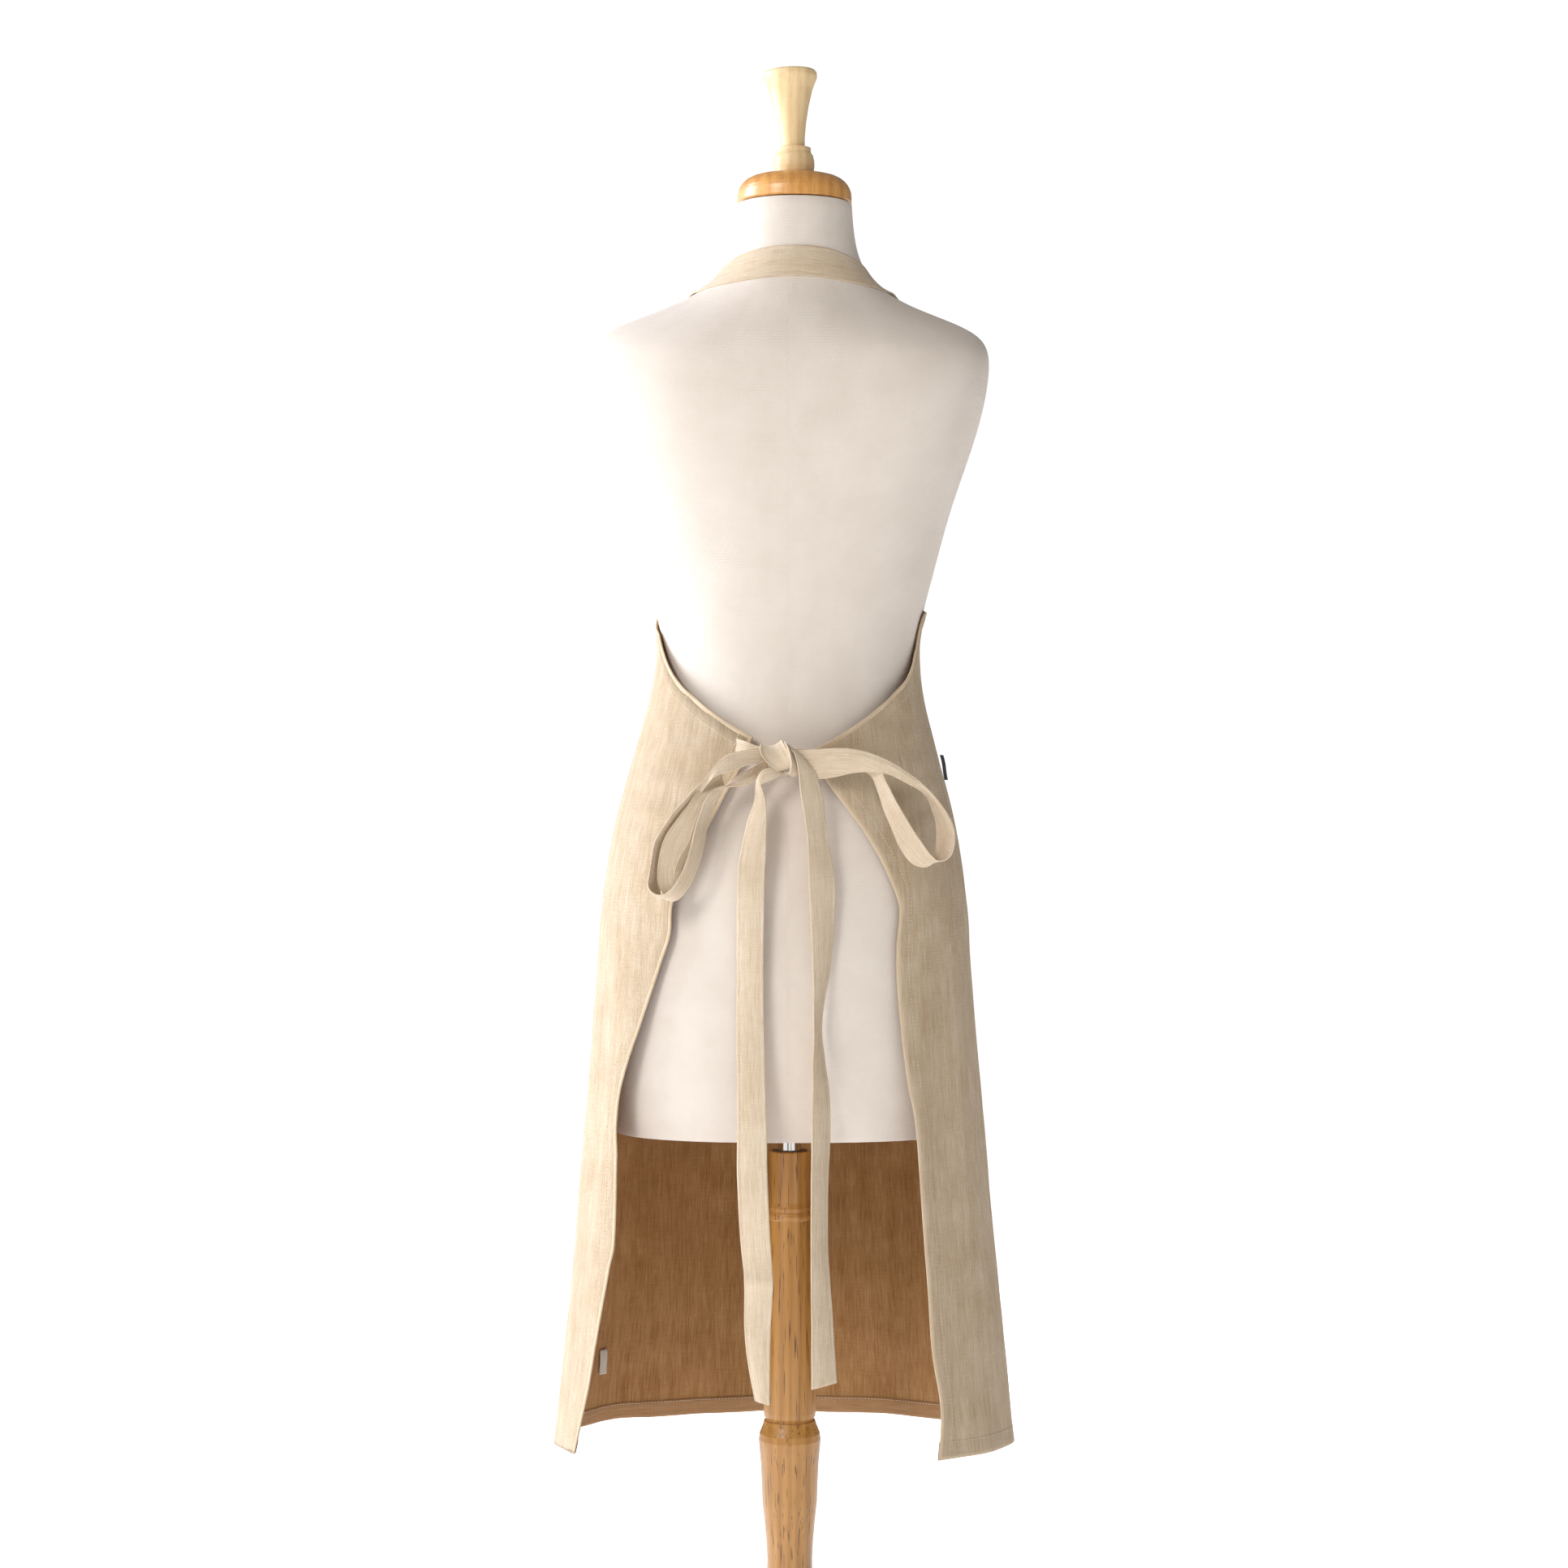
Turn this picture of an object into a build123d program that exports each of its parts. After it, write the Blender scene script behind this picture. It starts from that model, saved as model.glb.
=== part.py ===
"""Linen bib apron tied round a jersey-covered dress form on a turned wooden tripod stand.

Millimetres. Z is up, and the origin is on the floor under the column's axis. The apron's bow is on the -Y side
and its bib on the +Y side, so someone who stands behind the form sees +X on their right.
"""

from build123d import *
from math import cos, exp, pi, radians, sin
import os

# ---- driving dimensions -------------------------------------------------------------------------
FIT = 0.05                  # radial clearance of a running fit

GLIDE_R, GLIDE_H = 13.0, 7.0
FOOT_REACH = 275.0          # column axis to the middle of a foot
LEG_THICK = 26.0
LEG_ANGLES = (90, 210, 330)
LEG_TOP, LEG_BOTTOM = 184.0, 98.0      # where a leg meets the hub
HUB_R, HUB_BASE = 33.0, 62.0
DOWEL_R, DOWEL_HEIGHTS = 4.0, (118.0, 164.0)
DOWEL_IN, DOWEL_OUT = 18.0, 20.0       # how far a dowel reaches into the hub and into the leg

JOINT_Z = 372.0             # where the two column pieces meet
SHOULDER_Z = JOINT_Z - 6    # the groove round the column that hides the joint
COLUMN_TOP = 622.0
TENON_R, TENON_L = 17.0, 32.0
ROD_R, ROD_FOOT, ROD_HEAD = 11.5, 258.0, 700.0
BORE_R, BORE_FOOT = 12.2, 244.0
BUSH_R, BUSH_L = 14.5, 42.0
BUSH_TOP, BUSH_LIP = COLUMN_TOP - 2, 2.5
LOCK_Z = 601.0              # height of the height-lock screw
LOCK_R = 3.0

TORSO_FOOT = 641.0
SHELL_THICK, COVER_THICK, GLUE = 4.0, 1.2, 0.3
BOARD_THICK = 12.0
NECK_TOP = 1518.2
NECK = (4.5, 5.0)           # the neck's axis: a little to the right of the column and forward of it
FINIAL_LEAN = 2.7           # degrees, to the left
CAP_R, CAP_FOOT, CAP_H = 54.4, 1519.6, 25.4
STUD_R = 4.0

CLOTH = 1.6                 # apron sheet, with its hems and small waves
STRAP_W, TIE_W = 31.0, 24.0
STRAP_THICK, TIE_THICK = 1.6, 1.5
HEM_FRONT, HEM_BACK = 339.0, 358.0
BIB_TOP, BIB_HALF = 1338.0, 118.0


# ---- shared shapes ------------------------------------------------------------------------------
def lathe(outline, axis=(0, 0)):
    """A turned solid about the vertical axis at (x, y), from (radius, height) points joined by straight lines."""
    return Pos(*axis, 0) * revolve(make_face(Plane.XZ * Polyline(*outline, close=True)), Axis.Z)


def disc(radius, foot, top, axis=(0, 0)):
    return Pos(*axis, foot) * extrude(Circle(radius), top - foot)


def ring_wire(z, half, back, front, power, bust=0.0, shift_x=0.0, points=16):
    """A closed horizontal section: a superellipse of different depths behind and in front, with two soft bumps."""
    places = []
    for i in range(points):
        t = pi / 2 + 2 * pi * i / points
        c, s = cos(t), sin(t)
        x = half * abs(c) ** (2 / power) * (1 if c >= 0 else -1)
        depth = front if s >= 0 else back
        y = depth * abs(s) ** (2 / power) * (1 if s >= 0 else -1)
        if s > 0:
            y += bust * exp(-(((abs(x) - 68) / 36) ** 2)) * s ** 0.5
        places.append(Vector(x + shift_x, y, z))
    even = [i / points for i in range(points + 1)]
    return Wire([Edge.make_spline(places, periodic=True, parameters=even)])


# ---- the torso ----------------------------------------------------------------------------------
# height, half width, depth behind, depth in front, squareness, bust, middle in x
TORSO = (
    (630, 160, 97, 98, 2.3, 0, 0),
    (655, 167, 104, 101, 2.3, 0, 0),
    (720, 169.5, 113, 106, 2.3, 0, 0),
    (800, 167.5, 117, 107, 2.25, 0, 0),
    (880, 159, 111, 101, 2.2, 0, 0),
    (960, 142, 97, 94, 2.15, 0, 0),
    (1050, 117.5, 81, 89, 2.1, 0, 0),
    (1110, 121.5, 81, 94, 2.15, 2, 0),
    (1165, 135, 86, 102, 2.25, 9, 0),
    (1230, 153, 92, 108, 2.4, 18, 0),
    (1300, 176.5, 96, 99, 2.6, 6, 0),
    (1345, 187, 94, 86, 2.6, 0, 0),
    (1372, 188.5, 90, 78, 2.35, 0, 0),
    (1390, 181, 84, 72, 1.95, 0, 0),
    (1405, 155, 77, 67, 1.72, 0, 0.5),
    (1423, 110, 68, 62, 1.72, 0, 1.5),
    (1446, 75, 58, 61, 1.95, 0, 3.5),
    (1482, 57.5, 51.5, 61.5, 2.0, 0, 4.5),
    (1504, 55.0, 50, 60, 2.0, 0, 4.5),
    (1526, 54.4, 49.4, 59.4, 2.0, 0, 4.5),
)


def torso_body(grow=0.0, foot=TORSO_FOOT, top=NECK_TOP):
    """The torso's outside, grown outwards by a distance. A sloping section also moves up or down with it."""
    wires = []
    for z, half, back, front, power, bust, middle in TORSO:
        shoulder = 1.0 if z > 1372 else 0.0
        level = z + grow * 0.9 * shoulder * (1462 - z) / 90 if shoulder and z < 1462 else z
        wires.append(ring_wire(level, half + grow, back + grow, front + grow, power, bust, middle))
    body = Solid.make_loft(wires)
    slab = Pos(0, 0, (foot + top) / 2) * Box(900, 900, top - foot)
    return body & slab


# ---- the apron ----------------------------------------------------------------------------------
# height, half width, depth behind, depth in front, squareness, middle in x
SKIRT = (
    (330, 218, 158, 168, 2.1, -5.5),
    (420, 208.5, 150, 158, 2.1, -5.5),
    (540, 197, 141, 145, 2.15, -5.5),
    (660, 186.5, 132, 131, 2.2, -5.5),
    (780, 178, 125, 120, 2.2, -5.5),
    (860, 171.5, 121, 112, 2.2, -5.2),
    (930, 160, 111, 105, 2.15, -4.4),
    (1000, 142, 98, 100, 2.1, -3.4),
    (1040, 131.5, 92, 98, 2.1, -2.8),
    (1075, 125.5, 89, 100, 2.12, -1.8),
    (1105, 125.2, 89, 104, 2.15, -0.8),
    (1135, 132.5, 91, 110, 2.22, -0.3),
    (1170, 146, 94, 118, 2.3, 0),
    (1215, 160, 98, 129, 2.45, 0),
    (1255, 172, 101, 127, 2.55, 0),
    (1300, 188, 104, 113, 2.65, 0),
    (1345, 198, 104, 98, 2.65, 0),
)
# The back opening and the wings' upper edges, as someone behind the form sees them: x and height.
LEFT_EDGE = ((-33, 1003), (-72, 940), (-106, 862), (-119, 796), (-147, 710), (-157, 630), (-158, 545), (-193, 330))
RIGHT_EDGE = ((24, 1001), (47, 945), (80, 900), (98, 862), (98, 800), (110, 690), (120, 600), (137, 420), (137, 330))
LEFT_WING = ((-33, 1003), (-52, 1022), (-86, 1046), (-107, 1072), (-119, 1097), (-130, 1118))
RIGHT_WING = ((24, 1001), (58, 1025), (92, 1052), (108, 1072), (119, 1097), (130, 1118))
BIB_SIDE = ((146, 1118), (127, 1132), (122, 1152), (120, 1190), (119, 1240), (BIB_HALF, BIB_TOP))
SIDE_TOP = 1118.0           # where the back and front edges meet at the sides


def sheet_tube(grow):
    wires = [ring_wire(z, a + grow, b + grow, f + grow, p, shift_x=middle) for z, a, b, f, p, middle in SKIRT]
    return Solid.make_loft(wires)


def cutter(outline, low_y, high_y):
    """A prism along Y from an outline of x and height."""
    face = make_face(Polyline(*[(x, 0, z) for x, z in outline], close=True))
    return Pos(0, high_y, 0) * extrude(face, high_y - low_y, dir=(0, -1, 0))


def make_apron_panel(tube):
    """One cut of cloth: the bib in front, the skirt, and the two wings that wrap to the back."""
    far, high = 400.0, 1500.0
    opening = cutter(LEFT_EDGE + RIGHT_EDGE[::-1], -far, 0)
    above_wings = cutter(
        ((-far, high), (-far, SIDE_TOP)) + LEFT_WING[::-1] + RIGHT_WING + ((far, SIDE_TOP), (far, high)), -far, 0
    )
    right_of_bib = cutter(BIB_SIDE + ((BIB_HALF, high), (far, high), (far, SIDE_TOP)), 0, far)
    left_of_bib = right_of_bib.mirror(Plane.YZ)
    above_bib = Pos(0, far / 2, (BIB_TOP + high) / 2) * Box(2 * far, far, high - BIB_TOP)
    return tube - opening - above_wings - right_of_bib - left_of_bib - above_bib - below_hem()


def below_hem():
    """Everything under the hem, which rises a little towards the back."""
    middle = (HEM_FRONT + HEM_BACK) / 2
    slope, reach, low = (HEM_BACK - HEM_FRONT) / 320, 400, 200
    outline = ((-reach, middle + slope * reach), (reach, middle - slope * reach), (reach, low), (-reach, low))
    face = make_face(Polyline(*[(0, y, z) for y, z in outline], close=True))
    return Pos(-reach, 0, 0) * extrude(face, 2 * reach, dir=(1, 0, 0))


def ribbon(stations, width, thick):
    """A flat band through (point, outward normal) stations, with its width square to both path and normal."""
    places = [Vector(*place) for place, _ in stations]
    wires = []
    for i, (place, normal) in enumerate(stations):
        ahead = (places[min(i + 1, len(places) - 1)] - places[max(i - 1, 0)]).normalized()
        out = Vector(*normal)
        out = (out - ahead * out.dot(ahead)).normalized()
        side = ahead.cross(out) * (width / 2)
        up = out * (thick / 2)
        spot = places[i]
        corners = (spot + side + up, spot - side + up, spot - side - up, spot + side - up)
        wires.append(Wire(Polyline(*corners, close=True).edges()))
    return Solid.make_loft(wires, ruled=True)


def on_skin(skin, guess, lift):
    """The point of a face nearest to a guess, lifted off along its outward normal, with that normal."""
    near = skin.closest_points(Vertex(*guess))[0]
    normal = skin.normal_at(near)
    if normal.dot(near - Vector(*NECK, near.Z - 20)) < 0:
        normal = normal * -1
    spot = near + normal * lift
    return (spot.X, spot.Y, spot.Z), (normal.X, normal.Y, normal.Z)


# The neck strap's middle line, from behind the neck out to a corner of the bib, measured from its own middle.
STRAP_PATH = (
    (0, -55, 1457), (18, -51, 1457), (36, -40, 1454), (52, -26, 1447), (67, -8, 1436), (79, 10, 1421),
    (89, 28, 1406), (96, 46, 1390), (101, 62, 1374),
)
STRAP_LIFT = 3.4
NAPE_X = 4.0                # where the strap crosses the nape
STRAP_END = ((103.5, 82.5, 1352), (104, 86.5, 1335), (104, 90.5, 1318))


def make_neck_strap(body):
    skin = side_face(body)

    def half(side):
        """The stations on one side: +1 is the right and -1 the left."""
        over = []
        for i, (x, y, z) in enumerate(STRAP_PATH):
            middle = NAPE_X * (1 - i / len(STRAP_PATH))
            over.append(on_skin(skin, (side * x + middle, y, z), STRAP_LIFT))
        return over + [((side * x, y, z), (side * 0.12, 0.97, 0.2)) for x, y, z in STRAP_END]

    return ribbon(half(-1)[:0:-1] + half(1), STRAP_W, STRAP_THICK)


# ---- ties and bow, as someone behind the form sees them -----------------------------------------
KNOT = (-14.0, -107.0, 996.0)
KNOT_SIZE = (24, 17, 23)
KNOT_TILT, KNOT_ROUND = 12, 5
LEFT_STUB = ((-44, -99.8, 1007), (-32, -102, 1004), (-18, -105, 999))
RIGHT_STUB = ((30, -101.2, 1003), (16, -102.8, 1001), (-12, -104, 998))
LEFT_LOOP = (
    (-18, -111, 999), (-34, -115, 996), (-56, -120, 986), (-82, -122, 966), (-100, -124, 936), (-113, -128, 900),
    (-112, -130, 878), (-102, -128, 866), (-90, -126, 870), (-82, -124, 886), (-76, -119, 914), (-66, -116, 942),
    (-46, -114, 964), (-30, -112, 980), (-18, -107, 988),
)
RIGHT_LOOP = (
    (-8, -112, 1001), (8, -114, 999), (34, -119, 993), (66, -122, 986), (98, -124, 970), (124, -124, 944),
    (141, -122, 918), (136, -119, 904), (122, -117, 902), (108, -115, 912), (96, -114, 936), (82, -114, 958),
    (54, -114, 974), (20, -112, 985), (-8, -107, 991),
)
LEFT_TAIL = ((-17, -111, 990), (-27, -113, 972), (-31, -116, 940), (-34, -120, 870), (-35, -124, 780),
             (-33, -125, 660), (-30, -125, 520), (-27, -125, 402))
RIGHT_TAIL = ((-8, -103.5, 990), (6, -106, 970), (23, -110, 940), (31, -116, 890), (33, -122, 780),
              (31, -123, 660), (32, -123, 520), (35, -123, 414))
LOOP_ACROSS = (0.0, 0.86, 0.5)         # a loop's width runs mostly in depth
BACKWARD = (0, -1, 0)


def band(path):
    """A strap that lies flat against the back."""
    return ribbon([(place, BACKWARD) for place in path], TIE_W, TIE_THICK)


def loop_band(path):
    """A strap that runs out and back again, its width always across the same direction."""
    places = [Vector(*place) for place in path]
    stations = []
    for i, place in enumerate(path):
        ahead = places[min(i + 1, len(places) - 1)] - places[max(i - 1, 0)]
        out = ahead.cross(Vector(*LOOP_ACROSS))
        stations.append((place, (out.X, out.Y, out.Z)))
    return ribbon(stations, TIE_W, TIE_THICK)


def make_knot():
    block = Pos(*KNOT) * Rot(0, KNOT_TILT, 0) * Box(*KNOT_SIZE)
    return fillet(block.edges(), KNOT_ROUND)


def make_care_label(inner_tube):
    """A blank label sewn to the inside of the skirt, low on the left."""
    return against(side_face(inner_tube), (-182, 90, 403), -(LABEL_THICK / 2 + 0.4), (11, LABEL_THICK, 25))


def make_side_tab(outer_tube):
    """A blank tab caught in the right side of the skirt just above the hip."""
    return against(side_face(outer_tube), (146, -2, 985), LABEL_THICK / 2 + 0.1, (9, LABEL_THICK, 24))


def side_face(body):
    return body.faces().sort_by(SortBy.AREA)[-1]


def against(skin, guess, lift, size):
    """A thin block laid against a face near a guess: width along the face, thickness out of it, height up it."""
    place, normal = on_skin(skin, guess, lift)
    out = Vector(*normal)
    level = Vector(0, 0, 1).cross(out).normalized()
    return Plane(origin=place, x_dir=level, z_dir=level.cross(out) * -1).location * Box(*size)


# ---- form: shell, cover, board, neck -------------------------------------------------------------
LABEL_THICK = 0.8
SOCKET_R, SOCKET_TOP, SOCKET_WALL = ROD_R + FIT, 706.0, 2.0
FLANGE_R, FLANGE_T = 34.0, 4.0
BOARD_TOP = TORSO_FOOT + BOARD_THICK
SCREW_R, SCREW_RING, SCREW_DEPTH = 2.2, 25.0, 10.0
PLUG_T = 18.0
PLUG_TOP = CAP_FOOT
PLUG_R, PLUG_BOSS_R = 47.2, 38.0
FINIAL_FOOT = CAP_FOOT + CAP_H
CAP_EDGE, CAP_ROUND, CAP_POINTS = 1.5, 19.0, 8
STUD_RISE = 26.0            # how far the stud stands above the cap
CUT_OVER = 5.0              # how far a cutter runs past what it cuts


def screw_places(count, reach, start=45.0):
    return [(reach * cos(radians(start + 360 * i / count)), reach * sin(radians(start + 360 * i / count)))
            for i in range(count)]


def make_board():
    """The wooden board that closes the torso's foot, just inside the shell."""
    edge = ring_wire(0, 157, 93, 92.5, 2.3)
    board = Pos(0, 0, TORSO_FOOT) * extrude(make_face(edge.edges()), BOARD_THICK)
    board -= disc(SOCKET_R + SOCKET_WALL, TORSO_FOOT - 1, BOARD_TOP + 1)
    for x, y in screw_places(4, SCREW_RING):
        board -= Pos(x, y, 0) * disc(SCREW_R, BOARD_TOP - SCREW_DEPTH, BOARD_TOP + 1)
    return board


def make_socket():
    """Flanged tube on the board, closed at its top, where the form rests and turns on the rod."""
    outer = SOCKET_R + SOCKET_WALL
    outline = ((SOCKET_R, TORSO_FOOT), (outer, TORSO_FOOT), (outer, BOARD_TOP), (FLANGE_R, BOARD_TOP),
               (FLANGE_R, BOARD_TOP + FLANGE_T), (outer, BOARD_TOP + FLANGE_T), (outer, SOCKET_TOP), (0, SOCKET_TOP),
               (0, ROD_HEAD + FIT), (SOCKET_R, ROD_HEAD + FIT))
    socket = lathe(outline)
    for x, y in screw_places(4, SCREW_RING):
        socket -= Pos(x, y, 0) * disc(SCREW_R, BOARD_TOP - 1, BOARD_TOP + FLANGE_T + 1)
    return socket


def make_screws():
    top = BOARD_TOP + FLANGE_T
    screws = []
    for x, y in screw_places(4, SCREW_RING):
        shank = disc(SCREW_R, BOARD_TOP - SCREW_DEPTH, top)
        head = disc(4.2, top, top + 2.6)
        screws.append((Pos(x, y, 0) * (shank + head)).solid())
    return Compound(children=screws)


def make_neck_plug():
    """The wooden plug that closes the neck, with a low boss that holds the cap just clear of the cover."""
    plug = disc(PLUG_R, NECK_TOP - PLUG_T, NECK_TOP, NECK) + disc(PLUG_BOSS_R, NECK_TOP, PLUG_TOP, NECK)
    return plug - make_stud(CUT_OVER)


def leaning(shape):
    """Tilts a shape about the middle of the cap's top, the way the finial leans."""
    return Pos(*NECK, FINIAL_FOOT) * Rot(0, -FINIAL_LEAN, 0) * Pos(-NECK[0], -NECK[1], -FINIAL_FOOT) * shape


def make_stud(over=0.0):
    """The threaded stud through plug and cap into the finial, longer at both ends by over."""
    return leaning(disc(STUD_R, NECK_TOP - PLUG_T - over, FINIAL_FOOT + STUD_RISE + over, NECK))


def make_neck_cap():
    top = CAP_FOOT + CAP_H
    outline = [(0, CAP_FOOT), (CAP_R - CAP_EDGE, CAP_FOOT), (CAP_R, CAP_FOOT + CAP_EDGE)]
    for i in range(CAP_POINTS):
        t = pi / 2 * i / CAP_POINTS
        outline.append((CAP_R - CAP_ROUND + CAP_ROUND * cos(t), top - CAP_ROUND + CAP_ROUND * sin(t)))
    outline += [(CAP_R - CAP_ROUND, top), (0, top)]
    return lathe(outline, NECK) - make_stud(CUT_OVER)


def make_finial():
    """Turned knob: a bead and a ring at its foot, then a cone that opens to a lipped top."""
    bore = STUD_R + FIT
    foot_r = 16.5
    z = FINIAL_FOOT + FIT + foot_r * sin(radians(FINIAL_LEAN))
    bore_top = FINIAL_FOOT + STUD_RISE + 0.1
    outline = ((bore, z), (foot_r, z), (18.6, z + 4), (19.6, z + 9), (19.65, z + 14), (18.8, z + 19),
               (16.6, z + 22.5), (17.0, z + 24), (16.9, z + 26.5), (13.2, z + 27.5), (11.4, z + 29), (11.6, z + 36),
               (13.4, z + 50), (16.6, z + 66), (21.0, z + 82), (25.4, z + 92), (26.0, z + 94), (25.9, z + 98),
               (24.6, z + 99.6), (21.6, z + 99.9), (21.0, z + 99.1), (20.4, z + 100), (14, z + 101.6), (0, z + 102.4),
               (0, bore_top), (bore, bore_top))
    return leaning(lathe(outline, NECK))


# ---- stand ---------------------------------------------------------------------------------------
def make_column_lower():
    outline = ((BORE_R, BORE_FOOT), (BORE_R, JOINT_Z - TENON_L), (TENON_R, JOINT_Z - TENON_L), (TENON_R, SHOULDER_Z),
               (24.2, SHOULDER_Z), (25.4, JOINT_Z - 10), (28.6, 354), (29.5, 348), (29.0, 341), (27.6, 326),
               (26.6, 306), (26.0, 288), (24.0, 270), (22.4, 252), (21.5, 236), (21.5, 226), (24.5, 218),
               (30.0, 214), (31.0, 209), (30.0, 204), (27.5, 201), (28.5, 197), (HUB_R, 192), (HUB_R, 90),
               (30.0, 82), (25.0, 77), (23.0, 72), (24.0, 67), (22.0, 64), (12.0, HUB_BASE), (0, HUB_BASE),
               (0, BORE_FOOT))
    column = lathe(outline)
    for angle in LEG_ANGLES:
        for z in DOWEL_HEIGHTS:
            column -= dowel(angle, z)
    return column


def make_column_upper():
    """Upper column, with its bore, the bush seat at its top and a hole for the height lock on the +Y side."""
    outline = ((BORE_R, JOINT_Z - TENON_L), (TENON_R, JOINT_Z - TENON_L), (TENON_R, SHOULDER_Z),
               (23.0, SHOULDER_Z), (22.6, JOINT_Z - 4), (24.4, JOINT_Z - 2), (24.7, JOINT_Z + 2), (24.0, 420),
               (22.6, 480), (20.8, 530), (19.75, 553), (19.75, 556), (21.2, 557.5), (22.0, 560.5), (21.2, 563.5),
               (20.4, 564.5), (20.9, 566), (20.9, 568.5), (20.0, 570), (19.3, 573), (19.3, 590), (19.8, 612),
               (19.8, COLUMN_TOP - 1.5), (19.0, COLUMN_TOP - 0.4), (BUSH_R + BUSH_LIP, BUSH_TOP),
               (BUSH_R, BUSH_TOP), (BUSH_R, BUSH_TOP - BUSH_L), (BORE_R, BUSH_TOP - BUSH_L))
    column = lathe(outline)
    return column - along_y(INSERT_R, BORE_R, LOCK_CUT)


def dowel(angle, z):
    """One dowel between the hub and a leg."""
    start = HUB_R - DOWEL_IN
    return Rot(0, 0, angle) * Pos(start, 0, z) * Rot(0, 90, 0) * extrude(Circle(DOWEL_R), DOWEL_IN + DOWEL_OUT)


def make_dowels():
    return Compound(children=[dowel(angle, z).solid() for angle in LEG_ANGLES for z in DOWEL_HEIGHTS])


def make_leg(angle):
    """A curved leg: a flat sawn blank with rounded edges, coped to fit the hub."""
    upper = Spline((HUB_R - 8, LEG_TOP), (70, 178), (130, 128), (190, 74), (240, 42), (FOOT_REACH + 12, 36))
    lower = Spline((FOOT_REACH + 6, GLIDE_H), (235, 14), (185, 34), (120, 66), (66, 96), (HUB_R - 8, LEG_BOTTOM))
    toe = ThreePointArc((FOOT_REACH + 12, 36), (FOOT_REACH + 20, 20), (FOOT_REACH + 6, GLIDE_H))
    butt = Line((HUB_R - 8, LEG_BOTTOM), (HUB_R - 8, LEG_TOP))
    blank = extrude(Plane.XZ * make_face(upper + toe + lower + butt), LEG_THICK / 2, both=True)
    long_edges = [e for e in blank.edges() if e.length > 200]
    blank = fillet(long_edges, 6)
    leg = Rot(0, 0, angle) * blank - disc(HUB_R, HUB_BASE, LEG_TOP + 50)
    for z in DOWEL_HEIGHTS:
        leg -= dowel(angle, z)
    flat = Pos(0, 0, GLIDE_H - 20) * Box(900, 900, 40)
    return leg - flat


def make_glides():
    glides = []
    for angle in LEG_ANGLES:
        place = Rot(0, 0, angle) * Pos(FOOT_REACH - 6, 0, 0)
        glides.append((place * disc(GLIDE_R, 0, GLIDE_H)).solid())
    return Compound(children=glides)


def make_bush():
    top, lip, rim = BUSH_TOP, BUSH_R + BUSH_LIP, BUSH_TOP + 1.6
    bore, chamfer = ROD_R + FIT, 0.8
    outline = ((bore, top - BUSH_L), (BUSH_R, top - BUSH_L), (BUSH_R, top), (lip, top), (lip - 0.5, rim),
               (bore + chamfer, rim), (bore, rim - chamfer))
    return lathe(outline) - along_y(LOCK_R + FIT, 0, LOCK_CUT)


INSERT_R, INSERT_FACE = 5.0, 19.0
LOCK_CUT = 40.0             # how far the lock's clearance hole is cut, from the column's axis
KNOB_FOOT, KNOB_L, KNOB_R = 25.5, 18.0, 15.0


def along_y(radius, start, end):
    return Pos(0, end, LOCK_Z) * Rot(90, 0, 0) * extrude(Circle(radius), end - start)


def make_insert():
    """Brass insert for the lock screw, flush with the column and seated against the bush."""
    insert = along_y(INSERT_R, ROD_R, INSERT_FACE) - disc(BUSH_R, BUSH_TOP - BUSH_L, BUSH_TOP)
    return insert - along_y(LOCK_R + FIT, 0, LOCK_CUT)


def make_lock_knob():
    """Lobed hand knob with its screw, which stops just short of the rod."""
    grip = along_y(KNOB_R, KNOB_FOOT, KNOB_FOOT + KNOB_L)
    grip = fillet(grip.edges(), 2)
    for i in range(6):
        t = 2 * pi * i / 6
        flute = Pos(17.5 * cos(t), 0, 17.5 * sin(t)) * along_y(4.5, KNOB_FOOT - 2, KNOB_FOOT + KNOB_L + 2)
        grip -= flute
    boss = along_y(8, KNOB_FOOT - 4, KNOB_FOOT)
    return grip + boss + along_y(LOCK_R, ROD_R + 0.3, KNOB_FOOT + 4)


# ---- rod -----------------------------------------------------------------------------------------
ROD_WALL = 1.5


def make_rod():
    bore = ROD_R - ROD_WALL
    return lathe(((bore, ROD_FOOT + 2), (ROD_R, ROD_FOOT + 2), (ROD_R, ROD_HEAD - 2), (bore, ROD_HEAD - 2)))


def make_end_plug():
    bore, z = ROD_R - ROD_WALL, ROD_FOOT
    return lathe(((0, z), (ROD_R - 1, z), (ROD_R, z + 1), (ROD_R, z + 2), (bore, z + 2), (bore, z + 18), (0, z + 18)))


def make_rod_cap():
    bore, z = ROD_R - ROD_WALL, ROD_HEAD
    return lathe(((0, z), (ROD_R - 1, z), (ROD_R, z - 1), (ROD_R, z - 2), (bore, z - 2), (bore, z - 20), (0, z - 20)))


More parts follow.
